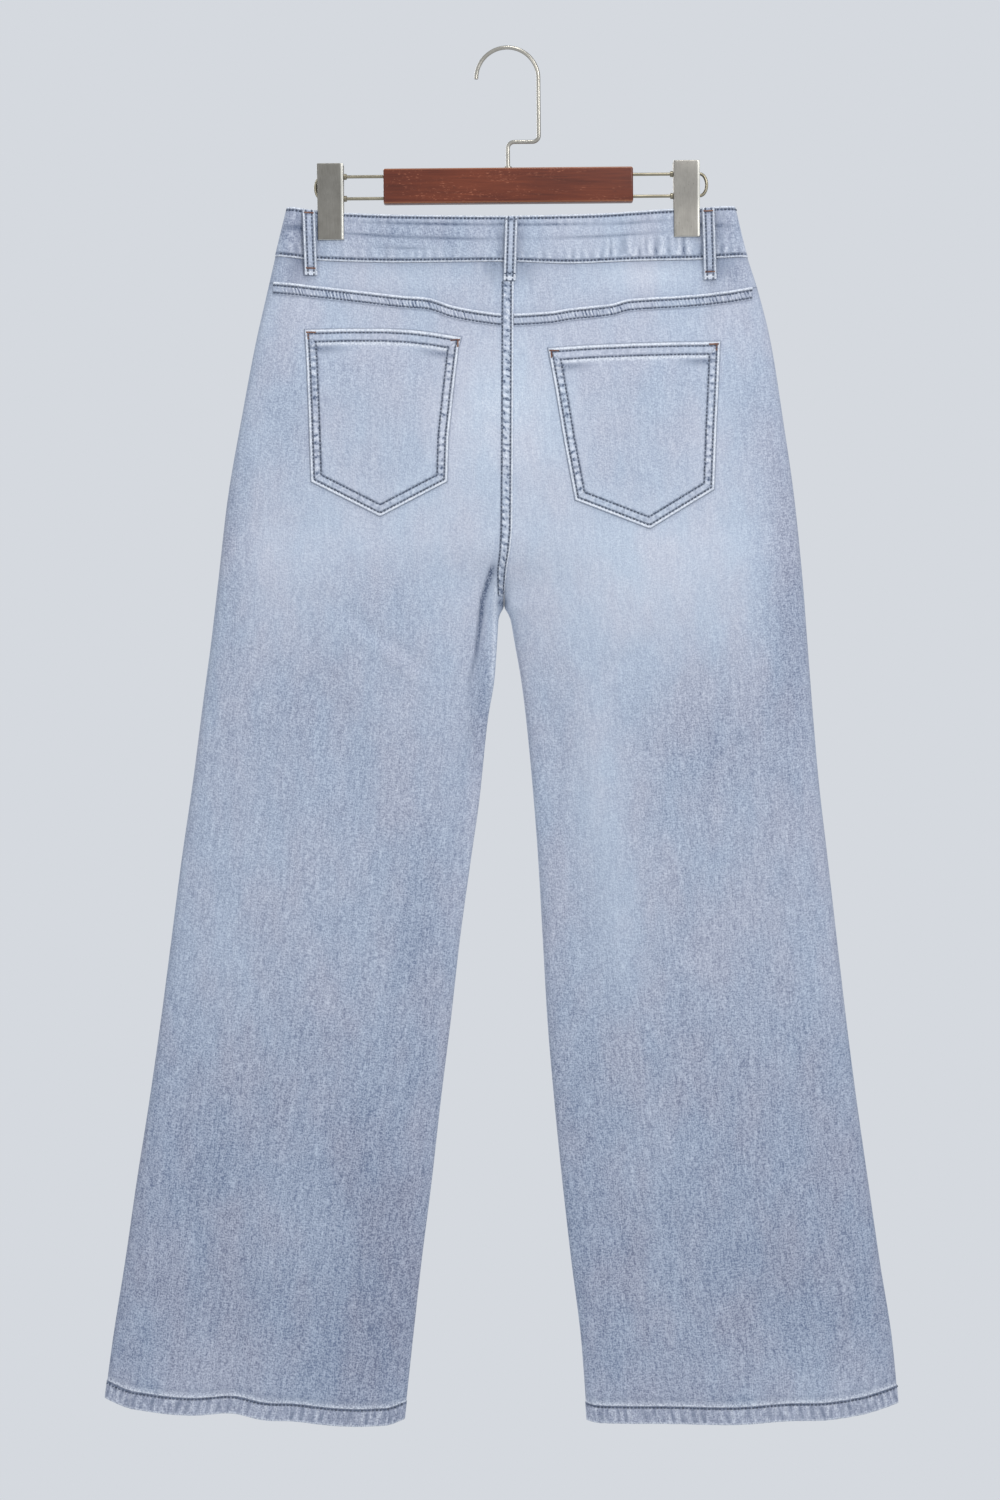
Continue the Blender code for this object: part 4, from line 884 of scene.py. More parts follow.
seatBand = {"left": curveThrough(((-0.2035, -0.0050), (-0.4140, -0.0061), (-0.4350, -0.0068),
                                  (-0.4560, -0.0088), (-0.4760, -0.0080))),
            "right": curveThrough(((-0.2035, 0.0059), (-0.4140, 0.0048), (-0.4350, 0.0030),
                                   (-0.4560, -0.0002), (-0.4760, -0.0022))),
            "top": -0.2035, "end": -0.4760, "wall": 0.0010, "rows": (0.0010, 0.0080),
            "width": 0.0103, "edge": 0.0010, "sunk": (0.00034, 0.0008), "rope": 0.00036,
            "crest": (0.00050, 0.0094, 0.0011)}
seatLook = denim("stone-washed denim, seat seam",
                 hollows=((0.0010, 0.0008, 0.8), (0.0080, 0.0008, 0.8)),
                 ridges=((0.0094, 0.0009, 1.0),),
                 gathers=(0.0020, 0.0074, 0.0066, 0.004, 0.4, 1.0))
seatWave = ripples(51, 6, 0.0050, 0.0090)
v = (np.arange(261) / 260)[:, None]
u = eased(16, 0.3)[None, :]
z = blend(seatBand["top"], seatBand["end"], v) + 0.0 * u
seatLeft, seatRight = seatBand["left"](z), seatBand["right"](z)
x = blend(seatLeft, seatRight, u)
away = (x - seatLeft) * seatBand["width"] / (seatRight - seatLeft)


def seatRise(z, away):
    edge = np.minimum(away, seatBand["width"] - away)
    rise = seatBand["wall"] * roundedEdge(edge, seatBand["edge"])
    rise += ridge(away, *seatBand["crest"])
    rise = sunkRows(rise, seatBand["rows"], away, *seatBand["sunk"])
    between = smooth(0.0012, 0.0026, away) * smooth(0.0078, 0.0064, away)
    return rise + seatBand["rope"] * seatWave(z + 0.5 * away) * between


# painted shade deepens the seam's lower end at the crotch
seatSeam = laidShell("seatSeam", "seat_seam", "back", x, z, (z, away), seatRise(z, away),
                     seatLook, shade=0.05 + 0.65 * smooth(-0.460, -0.474, z))

# The yoke: two short panels over the seat
yokes = {"columns": 96, "rows": 26, "flat": (0.213, 0.052), "endPucker": (0.00035, 0.010),
         "topPucker": (0.00030, 0.008), "sideFlat": 0.004,
         "topShade": (0.30, 0.0035), "sideShade": (0.12, 0.004), "endShade": (0.22, 0.0030),
         "corners": ((-0.180, 0.35), (-0.010, 0.30), (0.016, 0.25), (0.186, 0.30)),
         "cornerSpread": 0.010, "cornerReach": (0.026, 0.006)}
yokeWear = ripples(61, 7, 0.012, 0.050)
for side in sides:
    share = shares(yokes["columns"], 0.6)[None, :]
    top = shareLine(side, "back", share, waistSeam, 0.0003)
    end = shareLine(side, "back", share, yokeSeam) + 0.0001
    z = blend(top, end, eased(yokes["rows"], 0.5)[:, None])
    x = placeAcross(side, share, z)
    fromSide, fromTop, fromEnd = fromEdges(side, x, z)[0], top - z, z - end
    (atEnd, endReach), (atTop, topReach) = yokes["endPucker"], yokes["topPucker"]
    relief = fading(fromEnd, atEnd * yokeWear(x * 1.3), endReach) \
        + fading(fromTop, atTop * yokeWear(x + 0.7), topReach)
    relief = relief * upTo(fromSide, yokes["sideFlat"])
    outer = clothPoints(side, "back", share, z, 0.0, garment["gap"], relief)
    inner = clothPoints(side, "back", share, z, garment["cloth"], garment["gap"], relief)
    # painted shade under the waist seam, along the side, above the yoke seam and beside the belt loops
    shade = fading(fromTop, *yokes["topShade"]) + fading(fromSide, *yokes["sideShade"])
    shade += fading(fromEnd, *yokes["endShade"])
    for place, amount in yokes["corners"]:
        shade += amount * bump(x, place, yokes["cornerSpread"]) \
            * smooth(*yokes["cornerReach"], fromTop)
    made = closedShell(f"yoke{side.capitalize()}", outer, inner, (x, fromTop), panelLook,
                       washAndShadeTone("back", x, z), shade, 0.0)
    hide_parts(f"yoke_{side}")
print("yokes, seams and back pockets")

# Waistband: one ring, pinched flat under the clips
waistBand = {"columns": 150, "rows": 40, "height": 0.0420, "sewn": (0.0026, 0.0396),
             "aboveRow": (0.0394, 0.0372), "sewnReach": (-0.196, 0.2045), "columnStep": 0.0021,
             "sunk": (0.00030, 0.0009), "endCrest": (0.00040, 0.0402, 0.0012), "sideFlat": 0.004,
             "lip": (0.0007, 0.0012), "lowered": (0.10, 0.016, 0.012), "deepest": 0.0006,
             "highest": 0.0005, "shade": 0.75, "wear": 0.55, "clouds": 0.06,
             "loopShadows": ((-0.1712, 0.22), (0.0030, 0.40), (0.1756, 0.34)),
             "shadowSides": ((0.0085, 0.0035), (0.0090, 0.0045)),
             "puckers": {"deep": 0.00034, "pitch": 0.0078, "from": (0.070, 0.100),
                         "to": (0.175, 0.150), "top": (0.018, 0.026), "end": (0.0372, 0.0345)},
             "flat": (0.806, 0.042)}
waistLook = denim("stone-washed denim, waistband",
                  hollows=((0.0026, 0.0011, 0.7), (0.0396, 0.0014, 0.85)),
                  ridges=((0.0006, 0.0010, 1.0), (0.0415, 0.0008, 1.0)))
waistWave = ripples(71, 9, 0.006, 0.016)
waistSlow = ripples(72, 7, 0.030, 0.090)
# long wrinkles across the band: across, height below the top, slope, length, spread, depth
waistWrinkles = {
    "back": (
        (-0.062, 0.0078, 0.004, 0.058, 0.0013, 0.00060), (-0.118, 0.0185, 0.030, 0.026, 0.0012, 0.00055),
        (-0.052, 0.0200, 0.012, 0.040, 0.0012, 0.00055), (-0.090, 0.0290, 0.020, 0.022, 0.0012, 0.00035),
        (0.040, 0.0085, 0.010, 0.034, 0.0012, 0.00050), (0.085, 0.0200, -0.006, 0.050, 0.0013, 0.00042),
        (0.110, 0.0100, 0.000, 0.030, 0.0012, 0.00040), (0.175, 0.0160, 0.060, 0.020, 0.0020, 0.00045),
        (-0.180, 0.0170, -0.060, 0.018, 0.0024, 0.00050),
    ),
    "front": (
        (-0.070, 0.0150, 0.020, 0.045, 0.0022, 0.00040), (0.070, 0.0180, -0.020, 0.045, 0.0022, 0.00040),
    ),
}


def waistGrids():
    share = shares(waistBand["columns"], 0.6)
    there = [("left", "back", s) for s in share] + [("right", "back", s) for s in share[-2::-1]]
    home = [("right", "front", s) for s in share[1:]] \
        + [("left", "front", s) for s in share[-2:0:-1]]
    return there + home


def loopShadow(face, x, z):  # painted shadow beside a belt loop, deepest beside the seat-seam one
    if face == "front":
        return 0.0 * x * z
    (left, narrow), (right, wide) = waistBand["shadowSides"]
    return sum(amount * (bump(x, place - left, narrow) + 0.8 * bump(x, place + right, wide))
               for place, amount in waistBand["loopShadows"]) * (0.75 + 0.5 * waistWave(z))


def waistPuckers(x, away):
    size = waistBand["puckers"]
    tight = smooth(*size["from"], x) * smooth(*size["to"], x)
    wave = np.sin(x * 2 * math.pi / size["pitch"] + 3.2 * waistWave(0.3 * x))
    return size["deep"] * wave * tight * (0.65 + 0.6 * waistWave(0.5 * x + 0.7)) \
        * smooth(*size["top"], away) * smooth(*size["end"], away)


def waistRise(face, x, away, down):
    rise = np.zeros(np.broadcast(x, away).shape)
    rise = sunkRows(rise, waistBand["sewn"], away, *waistBand["sunk"])
    rise += ridge(away, *waistBand["endCrest"])
    rise += 0.00026 * waistWave(x) * smooth(0.026, 0.037, away) * smooth(0.0412, 0.0390, away) \
        * (1 + 0.9 * smooth(0.02, 0.09, x))
    if face == "back":  # upright puckers under the right half, tightest beside the clip
        rise += waistPuckers(x, away)
    rise += 0.00018 * waistWave(x + 0.4) * smooth(0.014, 0.004, away)
    for place, drop, slope, length, spread, depth in waistWrinkles[face]:
        line = down - drop - slope * (x - place)
        rise -= depth * bump(line, 0.0, spread) * bump(x, place, length)
    return rise


def ringShell(name, around, size, ease, cells, look):
    # one closed ring: around has a (side, face, share) for each column, and cells gives the
    # grids of the columns on one side's face
    v = eased(size["rows"], ease)[:, None]
    outer, inner = [np.zeros((len(v), len(around), 3)) for _ in range(2)]
    tone, shade, wear = [np.zeros((len(v), len(around))) for _ in range(3)]
    for side, face in dict.fromkeys(row[:2] for row in around):
        keys = [k for k, row in enumerate(around) if row[:2] == (side, face)]
        share = np.array([around[k][2] for k in keys])[None, :]
        for grid, part in zip((outer, inner, tone, shade, wear), cells(side, face, share, v)):
            grid[:, keys] = part
    run = np.arange(len(around) + 1) * size["columnStep"]
    seam = (run[None, :] + 0.0 * v, v * size["height"] + 0.0 * run[None, :])
    return closedShell(name, outer, inner, seam, look, tone, shade, wear, ring=True)


def waistCells(side, face, share, v):
    top = shareLine(side, face, share, bandTop)
    end = shareLine(side, face, share, waistSeam)
    z = blend(top, end, v)
    x = placeAcross(side, share, z)
    away = v * waistBand["height"] + 0.0 * x
    rise = waistRise(face, x, away, top - z) * upTo(fromEdges(side, x, z)[0], waistBand["sideFlat"])
    drawnIn, radius = waistBand["lip"]
    lip = drawnIn * (1 - roundedEdge(np.minimum(away, waistBand["height"] - away), radius))
    proud, wall = garment["bandProud"], garment["bandWall"]
    outer = clothPoints(side, face, share, z, -proud, 0.0, rise - lip)
    inner = clothPoints(side, face, share, z, wall - proud, 0.0, rise * 0.5)
    tone = washAndShadeTone(face, x, z) - ridge(top - z, *waistBand["lowered"]) \
        + waistBand["clouds"] * waistSlow(x) * np.ones_like(z)
    # painted shade in the wrinkle hollows and beside the loops; the crests get rubbed wear with a painted
    # highlight
    hollow = np.clip(-rise / waistBand["deepest"], 0.0, 1.0) * smooth(0.004, 0.007, away)
    aboveRow = smooth(*waistBand["aboveRow"], away)
    shade = waistBand["shade"] * hollow * aboveRow + loopShadow(face, x, z) * aboveRow
    crest = np.clip(rise / waistBand["highest"], 0.0, 1.0)
    wear = waistBand["wear"] * crest * smooth(0.004, 0.010, away) * aboveRow
    return outer, inner, tone, shade, wear


waistPiece = ringShell("waistBand", waistGrids(), waistBand, 0.4, waistCells, waistLook)
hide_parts("waistband")

# Hems: turned up twice and sewn once, so they rope
hems = {"columns": 150, "rows": 20, "height": 0.0155, "row": 0.0012, "rope": 0.00055,
        "columnStep": 0.0018, "slant": 0.15, "ropeFrom": (0.0020, 0.0046),
        "sunk": (0.00030, 0.0008), "sideFlat": 0.005, "endLip": (0.0010, 0.0018),
        "topLip": (0.0004, 0.0008), "paler": 0.03, "shade": 0.35, "deepest": 0.0006,
        "flat": {"left": (0.530, 0.0160), "right": (0.546, 0.0160)}}
hemLook = denim("stone-washed denim, hem", hollows=((hems["row"], 0.0010, 0.9),),
                ridges=((0.0150, 0.0011, 0.6),), lilac=0.8,
                gathers=(0.0026, 0.0142, 0.0080, 0.014, 0.12, 0.48))
hemRope = {side: ripples(81 + k, 9, 0.0042, 0.0095) for k, side in enumerate(sides)}


def hemCells(side, face, share, v):
    end = hemEndAt(side, face, share)
    z = blend(end + hems["height"], end, v)
    x = placeAcross(side, share, z)
    away = v * hems["height"] + 0.0 * x
    soft = upTo(np.minimum(*fromEdges(side, x, z)), hems["sideFlat"])
    rise = hems["rope"] * hemRope[side](x + hems["slant"] * away) * smooth(*hems["ropeFrom"], away)
    rise = sunkRows(rise * soft, (hems["row"],), away, *hems["sunk"])
    (atEnd, endRadius), (atTop, topRadius) = hems["endLip"], hems["topLip"]
    lip = atEnd * (1 - roundedEdge(hems["height"] - away, endRadius)) \
        + atTop * (1 - roundedEdge(away, topRadius))
    proud, wall = garment["hemProud"], garment["hemWall"]
    relief = legPanels["hemPucker"] * hemWave[side](x) * soft
    # painted shade in the hollows of the rope
    hollow = np.clip(-rise / hems["deepest"], 0.0, 1.0)
    return (clothPoints(side, face, share, z, -proud, 0.0, relief + rise - lip),
            clothPoints(side, face, share, z, wall - proud, 0.0, relief),
            washAndShadeTone(face, x, z) + hems["paler"],
            hems["shade"] * hollow * smooth(0.004, 0.006, away), 0.0)


for side in sides:
    share = shares(hems["columns"], 0.7)
    around = [(side, "back", s) for s in share] + [(side, "front", s) for s in share[-2:0:-1]]
    made = ringShell(f"hem{side.capitalize()}", around, hems, 0.5, hemCells, hemLook)
    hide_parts(f"hem_{side}")
print("waistband and hems")
for side in sides:
    for face in clothFaces:
        width, length = legPanels["flat"][face]

# Belt loops: straps with a row sewn along each side, tacked top and bottom
beltLoops = {
    "width": 0.0112, "wall": 0.0015, "bow": 0.0014, "lift": 0.0004, "drop": 0.0012,
    "rows": (0.0029, 0.0083), "tacks": (0.045, 0.900), "flat": (0.0112, 0.0640),
    "edge": 0.0011, "crest": (0.00035, 0.0012, 0.0010), "sunk": (0.00032, 0.0026, 0.0008),
    "ripple": 0.00016, "paler": 0.06, "tackShade": 0.60, "endHighlight": 0.85,
    "places": (  # piece, node, face, across at the top, across at the end, reach below the seam
        ("beltLoopBackLeft", "loop_back_left", "back", -0.1722, -0.1702, 0.0135),
        ("beltLoopBackCenter", "loop_back_center", "back", 0.0038, 0.0022, 0.0165),
        ("beltLoopBackRight", "loop_back_right", "back", 0.1746, 0.1764, 0.0180),
        ("beltLoopFrontLeft", "loop_front_left", "front", -0.0850, -0.0860, 0.0150),
        ("beltLoopFrontRight", "loop_front_right", "front", 0.0850, 0.0860, 0.0150)),
}
loopLook = denim("stone-washed denim, belt loop",
                 hollows=((0.0, 0.0006, 0.7), (0.0112, 0.0006, 0.7), (0.0029, 0.0009, 0.7),
                          (0.0083, 0.0009, 0.7)),
                 ridges=((0.0013, 0.0009, 1.0), (0.0099, 0.0009, 1.0)))


def proudDepth(face, x, z):  # the outermost cloth at a place near the waist
    onBand = z > waistSeam(x) - frontDip(face, x)
    return wholeDepth(face, x, z) + garment["bandProud"] * onBand


def loopShape(face, topX, endX, reach):
    top = float(bandTop(topX) - frontDip(face, topX)) - beltLoops["drop"]
    end = float(waistSeam(endX) - frontDip(face, endX)) - reach
    v = eased(70, 0.3)[:, None]
    u = eased(16, 0.2)[None, :]
    z = blend(top, end, v) + 0.0 * u
    middle = blend(topX, endX, v)
    x = middle + beltLoops["width"] * (u - 0.5)
    near = beltLoops["width"] / 4
    base = np.max([proudDepth(face, x + dx, z + dz) for dx in (-near, 0, near)
                   for dz in (-near, 0, near)], axis=0)
    base = base + beltLoops["lift"] + beltLoops["bow"] * np.sin(math.pi * v)
    return x, z, base, v, u * beltLoops["width"] + 0.0 * v


loopWave = ripples(91, 6, 0.004, 0.011)
for name, node, face, topX, endX, reach in beltLoops["places"]:
    x, z, base, v, away = loopShape(face, topX, endX, reach)
    edge = np.minimum(away, beltLoops["width"] - away)
    rise = beltLoops["wall"] * (0.55 + 0.45 * roundedEdge(edge, beltLoops["edge"]))
    rise += ridge(edge, *beltLoops["crest"]) - ridge(edge, *beltLoops["sunk"])
    rise += beltLoops["ripple"] * loopWave(z + topX) * smooth(0.002, 0.004, edge)
    y = faceSign[face] * base
    outer = np.stack([x, y + faceSign[face] * rise, z], -1)
    inner = np.stack([x, y, z], -1)
    # painted shade round the tacks, and a painted highlight on the bulge at the lower end
    tack = np.maximum(bump(v, 0.050, 0.03), bump(v, 0.885, 0.035)) + 0.0 * x
    shade = beltLoops["tackShade"] * tack * smooth(0.0012, 0.003, edge)
    wear = beltLoops["endHighlight"] * smooth(0.925, 0.945, v) * smooth(0.999, 0.985, v) + 0.0 * x
    made = closedShell(name, outer, inner, (z, away), loopLook,
                       washAndShadeTone(face, x, z) + beltLoops["paler"], shade, wear)
    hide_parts(node)

# The front: pocket mouths cut from the front panels, the facings behind them, and the fly
frontPockets = {"width": 0.105, "drop": 0.0695, "over": 0.020, "facing": 0.0012,
                "inset": 0.0018, "behind": 0.0002, "foot": -0.326,
                "flat": (0.150, 0.160), "rows": (0.0024, 0.0084)}


def mouthLine(side, count=24):  # the curved mouth, from the waist seam round to the side seam
    top = float(shareLine(side, "front", np.array([0.0]), waistSeam)[0])
    edge = float(outline[side](top - frontPockets["drop"]))
    angles = np.linspace(0, math.pi / 2, count + 1)
    return [(edge - sign[side] * frontPockets["width"] * math.cos(a),
             top - frontPockets["drop"] * math.sin(a)) for a in angles]


def cutMouth(side):
    over = frontPockets["over"]
    line = mouthLine(side)
    (startX, startZ), (endX, endZ) = line[0], line[-1]
    corners = [(endX + sign[side] * over, startZ + over), (startX, startZ + over)] + line \
        + [(endX + sign[side] * over, endZ)]
    count = len(corners)
    points = [(x, y, z) for y in (-0.002, 0.06) for x, z in corners]
    faces = [list(range(count)), list(range(2 * count - 1, count - 1, -1))]
    faces += [[k, k + count, (k + 1) % count + count, (k + 1) % count] for k in range(count)]
    mesh = bpy.data.meshes.new("mouth cutter")
    mesh.from_pydata(points, [], faces if side == "left" else [f[::-1] for f in faces])
    cutter = addObject("mouth cutter", mesh)
    panel = legs[f"frontPanel{side.capitalize()}"]
    cut = panel.modifiers.new("mouth", "BOOLEAN")
    cut.operation, cut.solver, cut.object = "DIFFERENCE", "EXACT", cutter
    view = bpy.context.evaluated_depsgraph_get()
    open_ = bpy.data.meshes.new_from_object(panel.evaluated_get(view))
    panel.modifiers.clear()
    panel.data = open_
    bpy.data.objects.remove(cutter)


facingLook = denim("stone-washed denim, pocket facing")
for side in sides:
    cutMouth(side)
    share = (np.concatenate([[0.004], eased(60, 0.4)[1:] * 0.62]) ** 1.15)[None, :]
    top = shareLine(side, "front", share, waistSeam, 0.0004)
    z = blend(top, frontPockets["foot"] + 0.0 * share, eased(60, 0.3)[:, None])
    x = placeAcross(side, share, z, frontPockets["inset"])
    near = halfDepth(side, "front", x, z, frontPockets["inset"]) - frontPockets["behind"]
    outer = np.stack([x, near, z], -1)
    inner = np.stack([x, near - frontPockets["facing"], z], -1)
    made = closedShell(f"pocketFacing{side.capitalize()}", outer, inner, (x, top - z),
                       facingLook, washAndShadeTone("front", x, z) - 0.06, 0.0, 0.0)
    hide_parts(f"pocket_facing_{side}")

fly = {"riseRows": (-0.0026, -0.0088), "riseTop": -0.3290, "riseEnd": -0.4690,
       "straight": 0.0012, "foot": -0.3260, "wall": 0.0010,
       "curve": ((-0.0350, -0.1965), (-0.0350, -0.2800), (-0.0310, -0.2980),
                 (-0.0230, -0.3130), (-0.0120, -0.3230), (0.0012, -0.3260)),
       "flat": (0.0365, 0.132), "rows": (0.0030, 0.0085),
       "tack": ((-0.0100, -0.3215), (-0.0030, -0.3235))}
flyTop = [(float(x), float(waistSeam(x) - frontDip("front", x)) - 0.0004)
          for x in np.linspace(fly["curve"][0][0], fly["straight"], 9)]
flyCurve = [flyTop[0]] + list(fly["curve"][1:])
flyLook = denim("stone-washed denim, fly", hollows=((0.0, 0.0007, 0.5), (0.0030, 0.0010, 0.5),
                                                    (0.0085, 0.0010, 0.5)),
                ridges=((0.0016, 0.0009, 0.7),))
u, v = eased(26)[None, :], eased(90)[:, None]
left = alongLine(flyCurve, v[:, 0])
straight = alongLine([(fly["straight"], flyTop[-1][1]), (fly["straight"], fly["foot"])], v[:, 0])
grid = left[:, None] * (1 - u[..., None]) + straight[:, None] * u[..., None]
x, z = grid[..., 0], grid[..., 1]
z = z - (z - np.interp(x, *zip(*flyTop))) * (v < 0.002)
away, along = lineAway(flyCurve, x, z)
rim = np.minimum(away, np.abs(x - fly["straight"]))
rise = fly["wall"] * roundedEdge(rim, 0.0010)
# painted shade along the flap's edges
made = laidShell("flyFlap", "fly", "front", x, z, (along, away), rise, flyLook,
                 shade=0.12 * bump(rim, 0.0, 0.002))
print("belt loops and the front")

# Hanger and button: solid forms with their own small details

hanger = {
    "tilt": math.radians(-0.5), "hookWire": 0.0035, "hookRadius": 0.0270, "shelf": -0.0805,
    "bend": 0.0055, "barSize": (0.2170, 0.0130, 0.0305), "barCenter": -0.1187, "barRound": 0.0019,
    "stemDepth": 0.020, "rodWire": 0.0028, "rodHeights": (-0.1096, -0.1287),
    "rodEnds": {"left": -0.1690, "right": 0.1740}, "rodDepth": 0.030,
    "clips": {"left": -0.1545, "right": 0.1550}, "jawWidth": 0.0228, "jawTop": -0.0990,
    "jawLength": 0.0660, "jawWall": 0.0012, "grip": 0.0039, "spread": 0.0085,
    "straight": 0.022, "flange": 0.0034, "flangeFull": (-0.1345, -0.1250), "lip": 0.0003,
    "cornerRound": 0.0013, "saddle": (0.0135, -0.1035, -0.1345),
    "spring": {"wire": 0.0010, "radius": 0.0026, "turns": 3, "height": -0.1190, "out": 0.0023,
               "run": 0.0030},
    "holeFloor": 0.0015,  # the wires stop this far short of where their holes end
    "jawEnds": (0.0009, 0.0010),  # how far a jaw's ends bend in, and their radius
    "collar": {"width": 0.0068, "rises": (-0.0008, 0.0004, 0.0012)},
    "rodCollar": {"width": 0.0052, "gap": 0.0002, "steps": (0.0, 0.0011, 0.0022)},
}


def tilted(points):  # the hanger hangs a little off level
    points = np.asarray(points, float)
    c, s = math.cos(hanger["tilt"]), math.sin(hanger["tilt"])
    x, y, z = points[..., 0], points[..., 1], points[..., 2]
    return np.stack([x * c + z * s, y, -x * s + z * c], -1)


def arc(center, radius, start, end, count):
    angles = np.radians(np.linspace(start, end, count))
    return [(center[0] + radius * math.cos(a), 0.0, center[1] + radius * math.sin(a))
            for a in angles]


def spreadAlong(points, step):  # the same path with even steps
    points = np.asarray(points, float)
    run = np.concatenate([[0.0], np.cumsum(np.linalg.norm(np.diff(points, axis=0), axis=1))])
    at = np.linspace(0.0, run[-1], max(2, int(run[-1] / step)))
    return np.stack([np.interp(at, run, points[:, k]) for k in range(3)], -1)


def solidPiece(name, bm, look, nodes=(), sharp=40):
    bmesh.ops.remove_doubles(bm, verts=bm.verts, dist=1e-7)
    bmesh.ops.recalc_face_normals(bm, faces=bm.faces)
    mesh = bpy.data.meshes.new(name)
    bm.to_mesh(mesh)
    bm.free()
    mesh.shade_smooth()
    mesh.set_sharp_from_angle(angle=math.radians(sharp))
    made = addPiece(name, mesh, look)
    if nodes:
        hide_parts(*nodes)
    return made


def joinRings(bm, rings):  # a closed wall through rings of corners, capped at both ends
    count = len(rings[0])
    for a, b in zip(rings[:-1], rings[1:]):
        for k in range(count):
            bm.faces.new((a[k], a[(k + 1) % count], b[(k + 1) % count], b[k]))
    bm.faces.new(rings[0][::-1])
    bm.faces.new(rings[-1])


def addWire(bm, path, thickness, sides=20, soften=0.0004):  # round wire with eased, closed ends
    path = np.asarray(path, float)
    ahead = np.gradient(path, axis=0)
    ahead /= np.linalg.norm(ahead, axis=1)[:, None]
    first, last = path[0] - ahead[0] * soften, path[-1] + ahead[-1] * soften
    path = np.concatenate([[first], path, [last]])
    ahead = np.concatenate([ahead[:1], ahead, ahead[-1:]])
    radii = np.full(len(path), thickness / 2)
    radii[[0, -1]] -= soften
    side = np.array([0.0, 1.0, 0.0])
    rings = []
    for point, way, radius in zip(path, ahead, radii):
        side = side - way * side.dot(way)
        side /= np.linalg.norm(side)
        other = np.cross(way, side)
        turn = 2 * math.pi * np.arange(sides) / sides
        ring = point + radius * (np.cos(turn)[:, None] * side + np.sin(turn)[:, None] * other)
        rings.append([bm.verts.new(p) for p in tilted(ring)])
    joinRings(bm, rings)


# Nickel-plated steel: the hook's wire is polished bright, the rods drawn and the plates satin,
# with a fine up-and-down brushing and a few rubbed scratches; rims get a painted dark reflection
def nickel(name, colours, roughness, brush, scratch=0.0, rim=0.0, relief=0.10):
    made, tree, surface = newMaterial(name, {"Metallic": 1.0, "Roughness": roughness})
    solid = addNode(tree, "TexCoord", out=3)
    lines = grains(tree, solid, brush, 3.0, 0.6)
    cloud = grains(tree, solid, (0.012,) * 3)
    mixed = addNode(tree, "Mix", {0: 0.5, 2: lines, 3: cloud})
    tint = addNode(tree, "ValToRGB", {0: mixed}, stops=((0.35, colours[0]), (0.65, colours[1])))
    # painted dark reflection on rims that turn away from view
    edge = addNode(tree, "MapRange", {0: addNode(tree, "LayerWeight", {0: 0.5}, 1),
                                      1: 0.35, 2: 0.95, 4: rim})
    # painted highlight on edges marked in a mesh attribute
    paintedHighlight = addNode(tree, "Attribute", out=2, attribute_name="wear")
    markStrength = addNode(tree, "MapRange", {0: grains(tree, solid, (0.0009, 0.0009, 0.0026), 1.0),
                                        1: 0.70, 2: 0.74, 4: scratch})
    for amount, over in ((edge, "#4a473f"), (paintedHighlight, "#f1eee4"), (markStrength, "#6f6c66")):
        tint = addNode(tree, "Mix", {0: amount, 6: tint, 7: linear(over)}, 2, data_type="RGBA")
    tree.links.new(tint, surface.inputs["Base Color"])
    tree.links.new(addNode(tree, "Math", {0: lines, 1: 0.14, 2: roughness - 0.06},
                           operation="MULTIPLY_ADD"), surface.inputs["Roughness"])
    if relief:
        tree.links.new(addNode(tree, "Bump", {"Strength": relief, "Distance": 0.0001,
                                              "Height": lines}), surface.inputs["Normal"])
    return made


polished = nickel("polished nickel wire", ("#a8a49a", "#bdb9af"), 0.28, (0.020, 0.020, 0.020),
                  rim=1.0, relief=0.0)
drawn = nickel("drawn nickel rod", ("#8d8674", "#aaa28d"), 0.32, (0.006, 0.0008, 0.0008), rim=0.6,
               relief=0.03)
# the left plate is painted darker than the right, a painted reflection on the same satin nickel
satin = {"left": nickel("satin nickel plate, left", ("#7c7972", "#8d8a83"), 0.46,
                        (0.0006, 0.0006, 0.014), 0.5),
         "right": nickel("satin nickel plate, right", ("#97938c", "#a8a49c"), 0.46,
                         (0.0006, 0.0006, 0.014), 0.5)}

# Lacquered red-brown hardwood: dark streaks run along the bar, with short orange flecks of worn
# grain filler, under a clear coat that catches the light on its rounded edges, with a painted highlight
# laid along them
lacquered, tree, surface = newMaterial("lacquered hardwood", {
    "Roughness": 0.45, "Specular IOR Level": 0.25, "Coat Weight": 0.22, "Coat Roughness": 0.18})
solid = addNode(tree, "TexCoord", out=3)
streak = grains(tree, solid, (0.040, 0.0030, 0.0016), 4.0, 0.6)
cloud = grains(tree, solid, (0.060, 0.020, 0.014))
wood = addNode(tree, "ValToRGB", {0: addNode(tree, "Mix", {0: 0.45, 2: streak, 3: cloud})}, stops=(
    (0.28, "#4b1f11"), (0.44, "#5d2817"), (0.58, "#6a301b"), (0.78, "#7c3c24")))
dash = addNode(tree, "MapRange", {0: grains(tree, solid, (0.0036, 0.0030, 0.0009), 2.0, 0.7),
                                  1: 0.60, 2: 0.66})
patches = addNode(tree, "MapRange", {
    0: grains(tree, solid, (0.030, 0.010, 0.007), shift=(4.0, 2.0, 1.0)), 1: 0.47, 2: 0.58, 4: 0.75})
pores = addNode(tree, "MapRange", {0: grains(tree, solid, (0.0070, 0.0020, 0.0005), 2.0, 0.6),
                                   1: 0.36, 2: 0.30, 4: 0.5})
